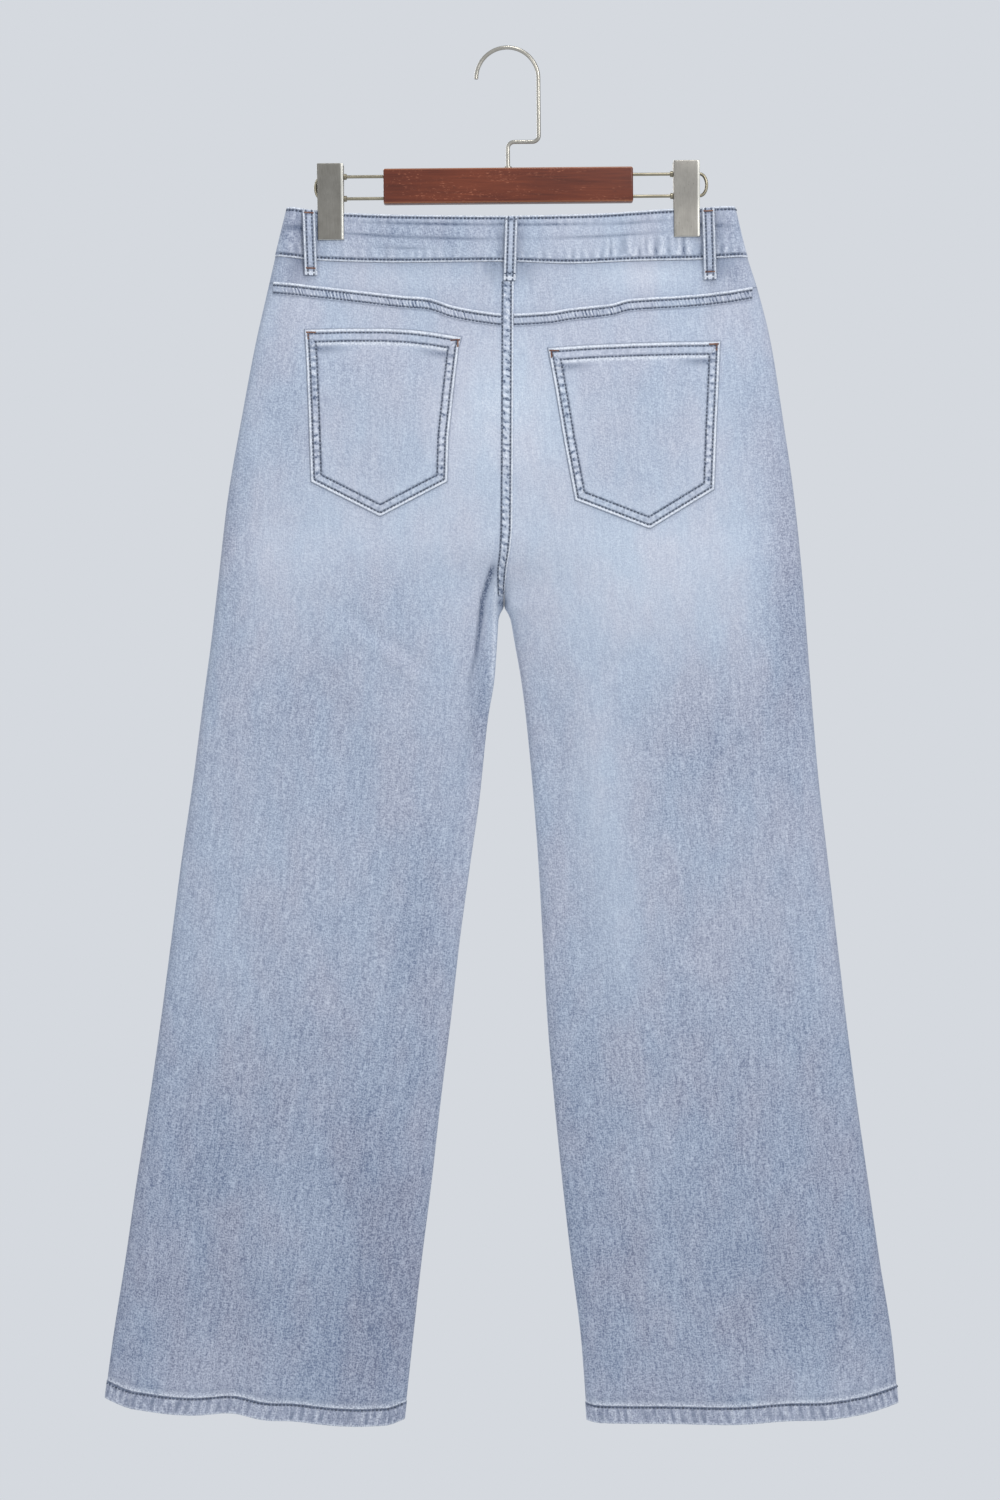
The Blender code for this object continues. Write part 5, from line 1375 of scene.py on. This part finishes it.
# painted highlight on the rounded edges, read from a mesh attribute
markStrength = addNode(tree, "Attribute", out=2, attribute_name="wear")
for amount, tint in ((addNode(tree, "Math", {0: dash, 1: patches}, operation="MULTIPLY"),
                      "#a5654a"), (pores, "#3a1a14"), (markStrength, "#b07a58")):
    wood = addNode(tree, "Mix", {0: amount, 6: wood, 7: linear(tint)}, 2, data_type="RGBA")
tree.links.new(wood, surface.inputs["Base Color"])
tree.links.new(addNode(tree, "Bump", {"Strength": 0.3, "Distance": 0.0002, "Height": streak}),
               surface.inputs["Normal"])

barTop = hanger["barCenter"] + hanger["barSize"][2] / 2
bm = bmesh.new()
bmesh.ops.create_cube(bm, size=1.0)
bmesh.ops.scale(bm, vec=hanger["barSize"], verts=bm.verts)
bmesh.ops.translate(bm, vec=(0.0, 0.0, hanger["barCenter"]), verts=bm.verts)
bmesh.ops.bevel(bm, geom=bm.edges[:], offset=hanger["barRound"], segments=5, profile=0.5,
                affect="EDGES")
barEdgeHighlight = bm.verts.layers.float.new("wear")  # painted highlight on the long rounded edges
for v in bm.verts:
    out, up = [max(0.0, abs(part) - half / 2 + hanger["barRound"]) for part, half in
               ((v.co.y, hanger["barSize"][1]), (v.co.z - hanger["barCenter"],
                                                 hanger["barSize"][2]))]
    if out and up:
        v[barEdgeHighlight] = max(0.0, 1 - abs(math.degrees(math.atan2(up, out)) - 45) / 32) * 0.8
    v.co = Vector(tilted(np.array(v.co)))
solidPiece("hangerBar", bm, lacquered, ["bar"], 60)

b, wide, wire = hanger["bend"], hanger["hookRadius"], hanger["hookWire"]
overCenter = (0.0, wire / 2 - wide)
hookPath = [(0.0, 0.0, barTop - hanger["stemDepth"] + hanger["holeFloor"]), (0.0, 0.0, barTop)]
hookPath += arc((b, hanger["shelf"] - b), b, 180, 90, 14)
hookPath += arc((wide - b, hanger["shelf"] + b), b, -90, 0, 14)
hookPath += arc(overCenter, wide, 0, 180, 72)
bm = bmesh.new()
addWire(bm, spreadAlong(hookPath, 0.0011), wire, 24)
solidPiece("hookWire", bm, polished, ["hook"])
bm = bmesh.new()  # the swivel's collar, where the hook leaves the bar
addWire(bm, [(0.0, 0.0, barTop + rise) for rise in hanger["collar"]["rises"]],
        hanger["collar"]["width"], 28)
solidPiece("hookCollar", bm, polished)

for side in sides:
    s, place = sign[side], hanger["clips"][side]
    upper, lower = hanger["rodHeights"]
    reach = hanger["rodEnds"][side] - s * hanger["rodWire"] / 2
    bow = (upper - lower) / 2
    start = s * (hanger["barSize"][0] / 2 - hanger["rodDepth"] + hanger["holeFloor"])
    turn = [(reach - s * bow * 0.62 * (1 - math.cos(a)), 0.0, (upper + lower) / 2 + bow * math.sin(a))
            for a in np.radians(np.linspace(90, -90, 26))]
    bm = bmesh.new()
    addWire(bm, spreadAlong([(start, 0.0, upper), *turn, (start, 0.0, lower)], 0.0016),
            hanger["rodWire"], 18)
    solidPiece(f"rod{side.capitalize()}", bm, drawn, [f"rod_{side}"])
    spring = hanger["spring"]
    bm = bmesh.new()  # a torsion coil on each side of the saddle, and a collar on each rod
    for way in (-1, 1):
        turns = np.linspace(0, 2 * math.pi * spring["turns"], 40)
        middle = place + way * (hanger["saddle"][0] / 2 + spring["out"])
        addWire(bm, [(middle + (k / 39 - 0.5) * spring["run"], spring["radius"] * math.cos(a),
                      spring["height"] + spring["radius"] * math.sin(a))
                     for k, a in enumerate(turns)], spring["wire"], 8)
    edge = place - s * (hanger["jawWidth"] / 2 + hanger["rodCollar"]["gap"])
    for height in (upper, lower):
        addWire(bm, [(edge - s * out, 0.0, height) for out in hanger["rodCollar"]["steps"]],
                hanger["rodCollar"]["width"], 18)
    solidPiece(f"clipSpring{side.capitalize()}", bm, drawn)
    bm = bmesh.new()
    half, top, end = hanger["saddle"][0] / 2, hanger["saddle"][1], hanger["saddle"][2]
    rings = []
    for z in np.linspace(top, end, 14):
        depth = float(blend(hanger["grip"], hanger["spread"], smooth(
            hanger["jawTop"] - hanger["jawLength"] + hanger["straight"], hanger["jawTop"], z))) - 0.0004
        ring = [(place + x * half, y * depth, z) for x, y in ((-1, -1), (1, -1), (1, 1), (-1, 1))]
        rings.append([bm.verts.new(p) for p in tilted(ring)])
    joinRings(bm, rings)
    bm.edges.ensure_lookup_table()
    bmesh.ops.bevel(bm, geom=[e for e in bm.edges if len(e.link_faces) == 2
                              and e.calc_face_angle() > 0.8], offset=0.0006, segments=2,
                    profile=0.5, affect="EDGES")
    solidPiece(f"clipSaddle{side.capitalize()}", bm, drawn, [f"clip_{side}_saddle"])


def jawGrids(place, face):  # a pressed plate: flat face, rounded bends and flanges turned in
    half, wall, bend = hanger["jawWidth"] / 2, hanger["jawWall"], hanger["cornerRound"]
    top, length = hanger["jawTop"], hanger["jawLength"]
    steps = np.unique(np.concatenate([eased(46, 0.3), [0.002, 0.006, 0.012, 0.988, 0.994, 0.998]]))
    grids = []
    for shift in (0.0, wall):
        rows = []
        for t in steps:
            z = top - length * t
            near = float(blend(hanger["grip"], hanger["spread"],
                               smooth(top - length + hanger["straight"], top, z)))
            far = near + wall
            lip = hanger["lip"] + hanger["flange"] * float(smooth(*hanger["flangeFull"], z))
            fromEnd = min(t, 1 - t) * length
            drawnIn, radius = hanger["jawEnds"]
            sunk = 0.0 if shift else drawnIn * float(1 - roundedEdge(fromEnd, radius))
            low = near - lip
            r = bend - shift
            corner = [(half - shift - r + r * math.sin(a), far - shift - r + r * math.cos(a))
                      for a in np.linspace(0, math.pi / 2, 7)]
            flat = [(u * (half - bend), far - shift) for u in np.linspace(-1, 1, 15)[1:-1]]
            leg = [(half - shift, blend(far - bend, low, u)) for u in (0.33, 0.66, 1.0)]
            right = corner + leg
            left = [(-x, y) for x, y in right[::-1]]
            rows.append([(place + x, faceSign[face] * (y - sunk), z) for x, y in left + flat + right])
        grids.append(tilted(rows))
    return grids


for side in sides:
    for face in clothFaces:
        outer, inner = jawGrids(hanger["clips"][side], face)
        blank = np.zeros(outer.shape[:2])
        count = blank.shape[1]
        edgeHighlight = blank.copy()  # painted highlight on its right bend and both cut ends
        edgeHighlight[:, count - 10:count - 4] = 0.8
        edgeHighlight[:2], edgeHighlight[-3:] = 0.4, 0.5
        made = closedShell(f"clip{side.capitalize()}{face.capitalize()}Jaw", outer, inner,
                           (blank, blank), satin[side], wear=edgeHighlight, slot="nickel")
        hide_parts(f"clip_{side}_{face}_jaw")
print("hanger")

# The waistband's button: a domed shank button with a rolled rim
button = {"across": -0.006, "radius": 0.0085, "height": 0.0034,
          "profile": ((0.0, 0.74), (0.20, 0.745), (0.38, 0.76), (0.50, 0.80), (0.56, 0.88),
                      (0.64, 0.80), (0.72, 0.84), (0.84, 1.00), (0.93, 0.96), (1.00, 0.76),
                      (0.99, 0.55), (0.92, 0.30), (0.45, 0.04), (0.0, 0.0))}
buttonLook = nickel("antiqued nickel button", ("#7d7a74", "#a3a099"), 0.38,
                    (0.0012, 0.0012, 0.0012), 0.4)
x = button["across"]
z = float((bandTop(x) + waistSeam(x)) / 2 - frontDip("front", x))
seat = float(proudDepth("front", np.array([x]), np.array([z]))[0])
bm = bmesh.new()
rings = []
for out, rise in button["profile"][1:-1]:
    turn = 2 * math.pi * np.arange(56) / 56
    rings.append([bm.verts.new((x + out * button["radius"] * math.cos(a),
                                seat + 0.0003 + rise * button["height"],
                                z + out * button["radius"] * math.sin(a))) for a in turn])
joinRings(bm, rings)
solidPiece("waistButton", bm, buttonLook, ["button"])
print("button")

# Sewing: every row and tack is a line laid on its piece, made into thread by one node tree

sewing = {
    "pitch": 0.0032, "length": 0.0025, "thick": 0.00105, "bandLength": 0.0022,
    "bandThick": 0.00155, "seed": 7, "step": 0.0016, "tackStep": 0.0006,
    "tackPitch": 0.00062, "tackLength": 0.0019, "tackThick": 0.00070,
}


def threadLook(name, colours, rough=0.62):
    # core-spun polyester sewing thread: a soft twist that catches a little light
    made, tree, surface = newMaterial(name, {"Roughness": rough, "Sheen Weight": 0.08})
    solid = addNode(tree, "TexCoord", out=3)
    faded = grains(tree, solid, (0.0045,) * 3)
    twist = grains(tree, solid, (0.0006,) * 3, 1.0)
    mixed = addNode(tree, "Mix", {0: 0.3, 2: faded, 3: twist})
    tree.links.new(addNode(tree, "ValToRGB", {0: mixed}, stops=((0.36, colours[0]),
                                                                (0.64, colours[1]))),
                   surface.inputs["Base Color"])
    tree.links.new(addNode(tree, "Bump", {"Strength": 0.5, "Distance": 0.0002, "Height": twist}),
                   surface.inputs["Normal"])
    return made


slateThread = threadLook("slate sewing thread", ("#333c4c", "#566176"))
rustThread = threadLook("rust sewing thread", ("#6b4438", "#94705c"))


def stitchTree():
    tree = bpy.data.node_groups.new("stitches on lines", "GeometryNodeTree")
    face = tree.interface
    face.new_socket("Lines", in_out="INPUT", socket_type="NodeSocketGeometry")
    for label in ("Pitch", "Length", "Thickness", "Turn"):
        face.new_socket(label, in_out="INPUT", socket_type="NodeSocketFloat")
    face.new_socket("Seed", in_out="INPUT", socket_type="NodeSocketInt")
    face.new_socket("Thread", in_out="INPUT", socket_type="NodeSocketMaterial")
    face.new_socket("Stitches", in_out="OUTPUT", socket_type="NodeSocketGeometry")
    given = tree.nodes.new("NodeGroupInput").outputs
    curve = addNode(tree, "GeometryNodeMeshToCurve", {0: given["Lines"]})
    even = addNode(tree, "GeometryNodeResampleCurve", {
        "Curve": curve, "Length": given["Pitch"]}, mode="LENGTH")
    ahead = addNode(tree, "GeometryNodeInputTangent")
    turned = addNode(tree, "VectorRotate", {
        "Vector": ahead, "Axis": (0.0, 1.0, 0.0), "Angle": given["Turn"]},
        rotation_type="AXIS_ANGLE")
    facing = addNode(tree, "FunctionNodeAlignRotationToVector", {"Vector": turned}, axis="X")
    loose = addNode(tree, "FunctionNodeRandomValue", {
        0: (-0.10, -0.06, -0.10), 1: (0.10, 0.06, 0.10), "Seed": given["Seed"]},
        data_type="FLOAT_VECTOR")
    swing = addNode(tree, "FunctionNodeRotateRotation", {0: facing, 1: loose},
                    rotation_space="LOCAL")
    vary = addNode(tree, "FunctionNodeRandomValue", {
        2: 0.86, 3: 1.12, "Seed": given["Seed"]}, out=1, data_type="FLOAT")
    size = addNode(tree, "CombineXYZ", {
        0: addNode(tree, "Math", {0: given["Length"], 1: vary}, operation="MULTIPLY"),
        1: given["Thickness"], 2: given["Thickness"]})
    bead = addNode(tree, "GeometryNodeMeshUVSphere", {"Segments": 6, "Rings": 5, "Radius": 0.5})
    laid = addNode(tree, "GeometryNodeInstanceOnPoints", {
        "Points": even, "Instance": bead, "Rotation": swing, "Scale": size})
    real = addNode(tree, "GeometryNodeRealizeInstances", {0: laid})
    soft = addNode(tree, "GeometryNodeSetShadeSmooth", {0: real})
    done = addNode(tree, "GeometryNodeSetMaterial", {0: soft, "Material": given["Thread"]})
    tree.links.new(done, tree.nodes.new("NodeGroupOutput").inputs[0])
    return tree


stitches = stitchTree()


def sew(name, lines, thread, pitch, length, thick, turn=0.0):
    points = np.concatenate(lines)
    edgesOf, first = [], 0
    for line in lines:
        edgesOf += [(first + k, first + k + 1) for k in range(len(line) - 1)]
        first += len(line)
    mesh = bpy.data.meshes.new(name)
    mesh.from_pydata(points.tolist(), edgesOf, [])
    made = addObject(name, mesh)
    live = made.modifiers.new("stitches", "NODES")
    live.node_group = stitches
    given = {"Pitch": pitch, "Length": length, "Thickness": thick, "Turn": turn,
             "Seed": sewing["seed"], "Thread": thread}
    for socket in stitches.interface.items_tree:
        if socket.in_out == "INPUT" and socket.name in given:
            live[socket.identifier] = given[socket.name]
    bpy.context.view_layer.update()
    view = bpy.context.evaluated_depsgraph_get()
    sewn = bpy.data.meshes.new_from_object(made.evaluated_get(view))
    made.modifiers.clear()
    made.data = sewn
    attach(made, "root")
    return made


def surfaceOf(piece, face):  # reads how far out a piece's cloth lies at a place seen from its face
    tree = BVHTree.FromPolygons([v.co for v in piece.data.vertices],
                                [p.vertices for p in piece.data.polygons])

    def lay(x, z, lift=0.00018):
        points, last = [], None
        for px, pz in zip(np.ravel(x), np.ravel(z)):
            hit = tree.ray_cast(Vector((px, 0.2 * faceSign[face], pz)),
                                Vector((0.0, -faceSign[face], 0.0)))[0]
            if hit:
                last = hit.y
                points.append((px, hit.y + faceSign[face] * lift, pz))
        return np.array(points)

    return lay


def fine(points, step=sewing["step"]):  # a line of (across, height) places, with even close steps
    points = np.asarray(points, float)
    run = np.concatenate([[0.0], np.cumsum(np.hypot(*np.diff(points, axis=0).T))])
    at = np.linspace(0.0, run[-1], max(2, int(run[-1] / step)))
    return np.interp(at, run, points[:, 0]), np.interp(at, run, points[:, 1])


def insetLine(points, distances, closed=True):  # each stretch moved in by its own distance
    points = np.asarray(points, float)
    count = len(points)
    ends = [(k, (k + 1) % count) for k in range(count if closed else count - 1)]
    ways = np.array([(points[b] - points[a]) / np.hypot(*(points[b] - points[a])) for a, b in ends])
    across = np.stack([-ways[:, 1], ways[:, 0]], 1)
    moved = []
    for k in range(count):
        if closed:
            one, two = (k - 1) % count, k
        else:
            one, two = max(k - 1, 0), min(k, count - 2)
        n1, n2, d1, d2 = across[one], across[two], distances[one], distances[two]
        det = n1[0] * n2[1] - n1[1] * n2[0]
        if abs(det) < 0.2:
            n = (n1 + n2) / np.hypot(*(n1 + n2))
            moved.append(points[k] + n * (d1 + d2) / 2)
        else:
            moved.append(points[k] + np.array([(d1 * n2[1] - d2 * n1[1]) / det,
                                               (d2 * n1[0] - d1 * n2[0]) / det]))
    return moved


pieces = bpy.data.objects
rowLines, tackLines = [], []
for side in sides:
    shape = backPockets[side]
    lay = surfaceOf(pieces[f"backPocket{side.capitalize()}"], "back")
    border = list(shape["left"]) + list(shape["end"][1:]) + list(shape["right"][::-1][1:])
    top = list(shape["top"][::-1][1:-1])
    ring = border + top
    for row in (0, 1):
        sideIn, topIn = backPockets["rows"][row], backPockets["topRows"][row]
        distances = [sideIn] * (len(border) - 1) + [topIn] * (len(top) + 1)
        line = insetLine(ring, distances)
        rowLines.append(lay(*fine(line + line[:1])))
    for (cx, cz), way in ((shape["top"][0], 1), (shape["top"][-1], -1)):
        for tack in backPockets["tacks"]:
            ends = [(cx + way * inward, cz - down) for inward, down in tack]
            tackLines.append(lay(*fine(ends, sewing["tackStep"])))
    lay = surfaceOf(pieces[f"yokeSeam{side.capitalize()}"], "back")
    low, high = yokeSeamBand["ends"][side]
    for row in yokeSeamBand["rows"]:
        x = np.arange(low + 0.001, high - 0.001, sewing["step"])
        rowLines.append(lay(x, yokeSeam(x) + yokeSeamBand["above"] - row))
lay = surfaceOf(pieces["seatSeam"], "back")
z = np.arange(seatBand["top"] - 0.001, seatBand["end"] + 0.002, -sewing["step"])
for row in seatBand["rows"]:
    x = blend(seatBand["left"](z), seatBand["right"](z), row / seatBand["width"])
    rowLines.append(lay(x, z))
sew("backStitches", rowLines, slateThread, sewing["pitch"], sewing["length"], sewing["thick"])

rowLines = []
for face in clothFaces:
    lay = surfaceOf(pieces["waistBand"], face)
    x = np.arange(*waistBand["sewnReach"], sewing["step"])
    for row in waistBand["sewn"]:
        share = row / waistBand["height"]
        z = blend(bandTop(x), waistSeam(x), share) - frontDip(face, x)
        rowLines.append(lay(x, z))
    for side in sides:
        lay = surfaceOf(pieces[f"hem{side.capitalize()}"], face)
        ends = sorted((float(outline[side](garment["hemLevel"])),
                       float(inside[side](garment["hemLevel"]))))
        x = np.arange(ends[0] + 0.0012, ends[1] - 0.0012, sewing["step"])
        rowLines.append(lay(x, hemEnd(side, face, x) + hems["height"] - hems["row"]))
sew("bandStitches", rowLines, slateThread, sewing["pitch"], sewing["bandLength"],
    sewing["bandThick"])

rowLines = []
for name, node, face, topX, endX, reach in beltLoops["places"]:
    lay = surfaceOf(pieces[name], face)
    x, z, _, v, away = loopShape(face, topX, endX, reach)
    for row in beltLoops["rows"]:
        k = int(np.argmin(np.abs(away[0] - row)))
        rowLines.append(lay(x[1:-1, k], z[1:-1, k]))
    for share in beltLoops["tacks"]:
        k = int(np.argmin(np.abs(v[:, 0] - share)))
        tack = lay(*fine([(x[k, 3], z[k, 3]), (x[k, -4], z[k, -4])], sewing["tackStep"]))
        (rowLines if name == "beltLoopBackCenter" else tackLines).append(tack)
for side in sides:
    lay = surfaceOf(pieces[f"frontPanel{side.capitalize()}"], "front")
    mouth = mouthLine(side)
    for row in frontPockets["rows"]:
        line = insetLine(mouth, [-sign[side] * row] * (len(mouth) - 1), closed=False)
        rowLines.append(lay(*fine(line)))
lay = surfaceOf(pieces["frontPanelLeft"], "front")
for row in fly["riseRows"]:
    rowLines.append(lay(*fine([(row, fly["riseTop"]), (row, fly["riseEnd"])])))
lay = surfaceOf(pieces["flyFlap"], "front")
for row in fly["rows"]:
    line = insetLine(flyCurve, [row] * (len(flyCurve) - 1), closed=False)
    rowLines.append(lay(*fine(line)))
sew("frontStitches", rowLines, slateThread, sewing["pitch"], sewing["length"], sewing["thick"])
tackLines.append(lay(*fine(fly["tack"], sewing["tackStep"])))
sew("barTacks", tackLines, rustThread, sewing["tackPitch"], sewing["tackLength"],
    sewing["tackThick"], math.radians(90))
print("sewing")


# Camera, light and floor

studio = {
    "middle": (-0.0061, -0.6094), "frameHeight": 1.305, "distance": 3.0,
    "wall": "#d5d9df", "floor": ("#dfe2e6", "#d6dade"), "floorLevel": -1.90, "floorRadius": 1.15,
    "lights": (  # name, place, size, power
        ("window light", (1.6, -2.6, 0.9), 1.3, 34.0), ("soft fill", (-1.9, -2.4, -0.4), 1.8, 10.0),
        ("overhead light", (0.35, -0.9, 1.9), 0.7, 16.0),
        ("far side light", (-1.4, 2.7, 0.7), 1.6, 34.0)),
}


def softLight(name, place, size, power):
    lamp = bpy.data.lights.new(name, "AREA")
    lamp.shape = "DISK"
    lamp.size = size
    lamp.energy = power
    made = addObject(name, lamp)
    made.location = place
    aim = Vector((studio["middle"][0], 0.0, studio["middle"][1])) - made.location
    made.rotation_euler = aim.to_track_quat("-Z", "Y").to_euler()


def setStudio():
    lens = bpy.data.cameras.new("camera")
    lens.sensor_fit = "VERTICAL"
    lens.sensor_height = 36.0
    lens.lens = 36.0 * studio["distance"] / studio["frameHeight"]
    camera = addObject("camera", lens)
    camera.location = (studio["middle"][0], -studio["distance"], studio["middle"][1])
    camera.rotation_euler = (math.radians(90), 0.0, 0.0)
    bpy.context.scene.camera = camera
    for row in studio["lights"]:
        softLight(*row)
    world = bpy.data.worlds.new("studio")
    world.use_nodes = True
    sky = world.node_tree.nodes["Background"]
    sky.inputs[0].default_value = linear(studio["wall"])
    sky.inputs[1].default_value = 1.0
    bpy.context.scene.world = world
    bpy.context.scene.view_settings.view_transform = "Standard"
    made, tree, surface = newMaterial("matt painted floor", {"Roughness": 0.9})
    mottle = grains(tree, addNode(tree, "TexCoord", out=3), (0.3,) * 3)
    floorColours = tuple(zip((0.3, 0.7), studio["floor"]))
    tree.links.new(addNode(tree, "ValToRGB", {0: mottle}, stops=floorColours),
                   surface.inputs["Base Color"])
    angles = np.linspace(0, 2 * math.pi, 64, endpoint=False)
    radius, mesh = studio["floorRadius"], bpy.data.meshes.new("floor")
    mesh.from_pydata([(radius * math.cos(a), radius * math.sin(a), studio["floorLevel"])
                      for a in angles], [], [list(range(len(angles)))])
    mesh.materials.append(made)
    floor = addObject("floor", mesh)


setStudio()
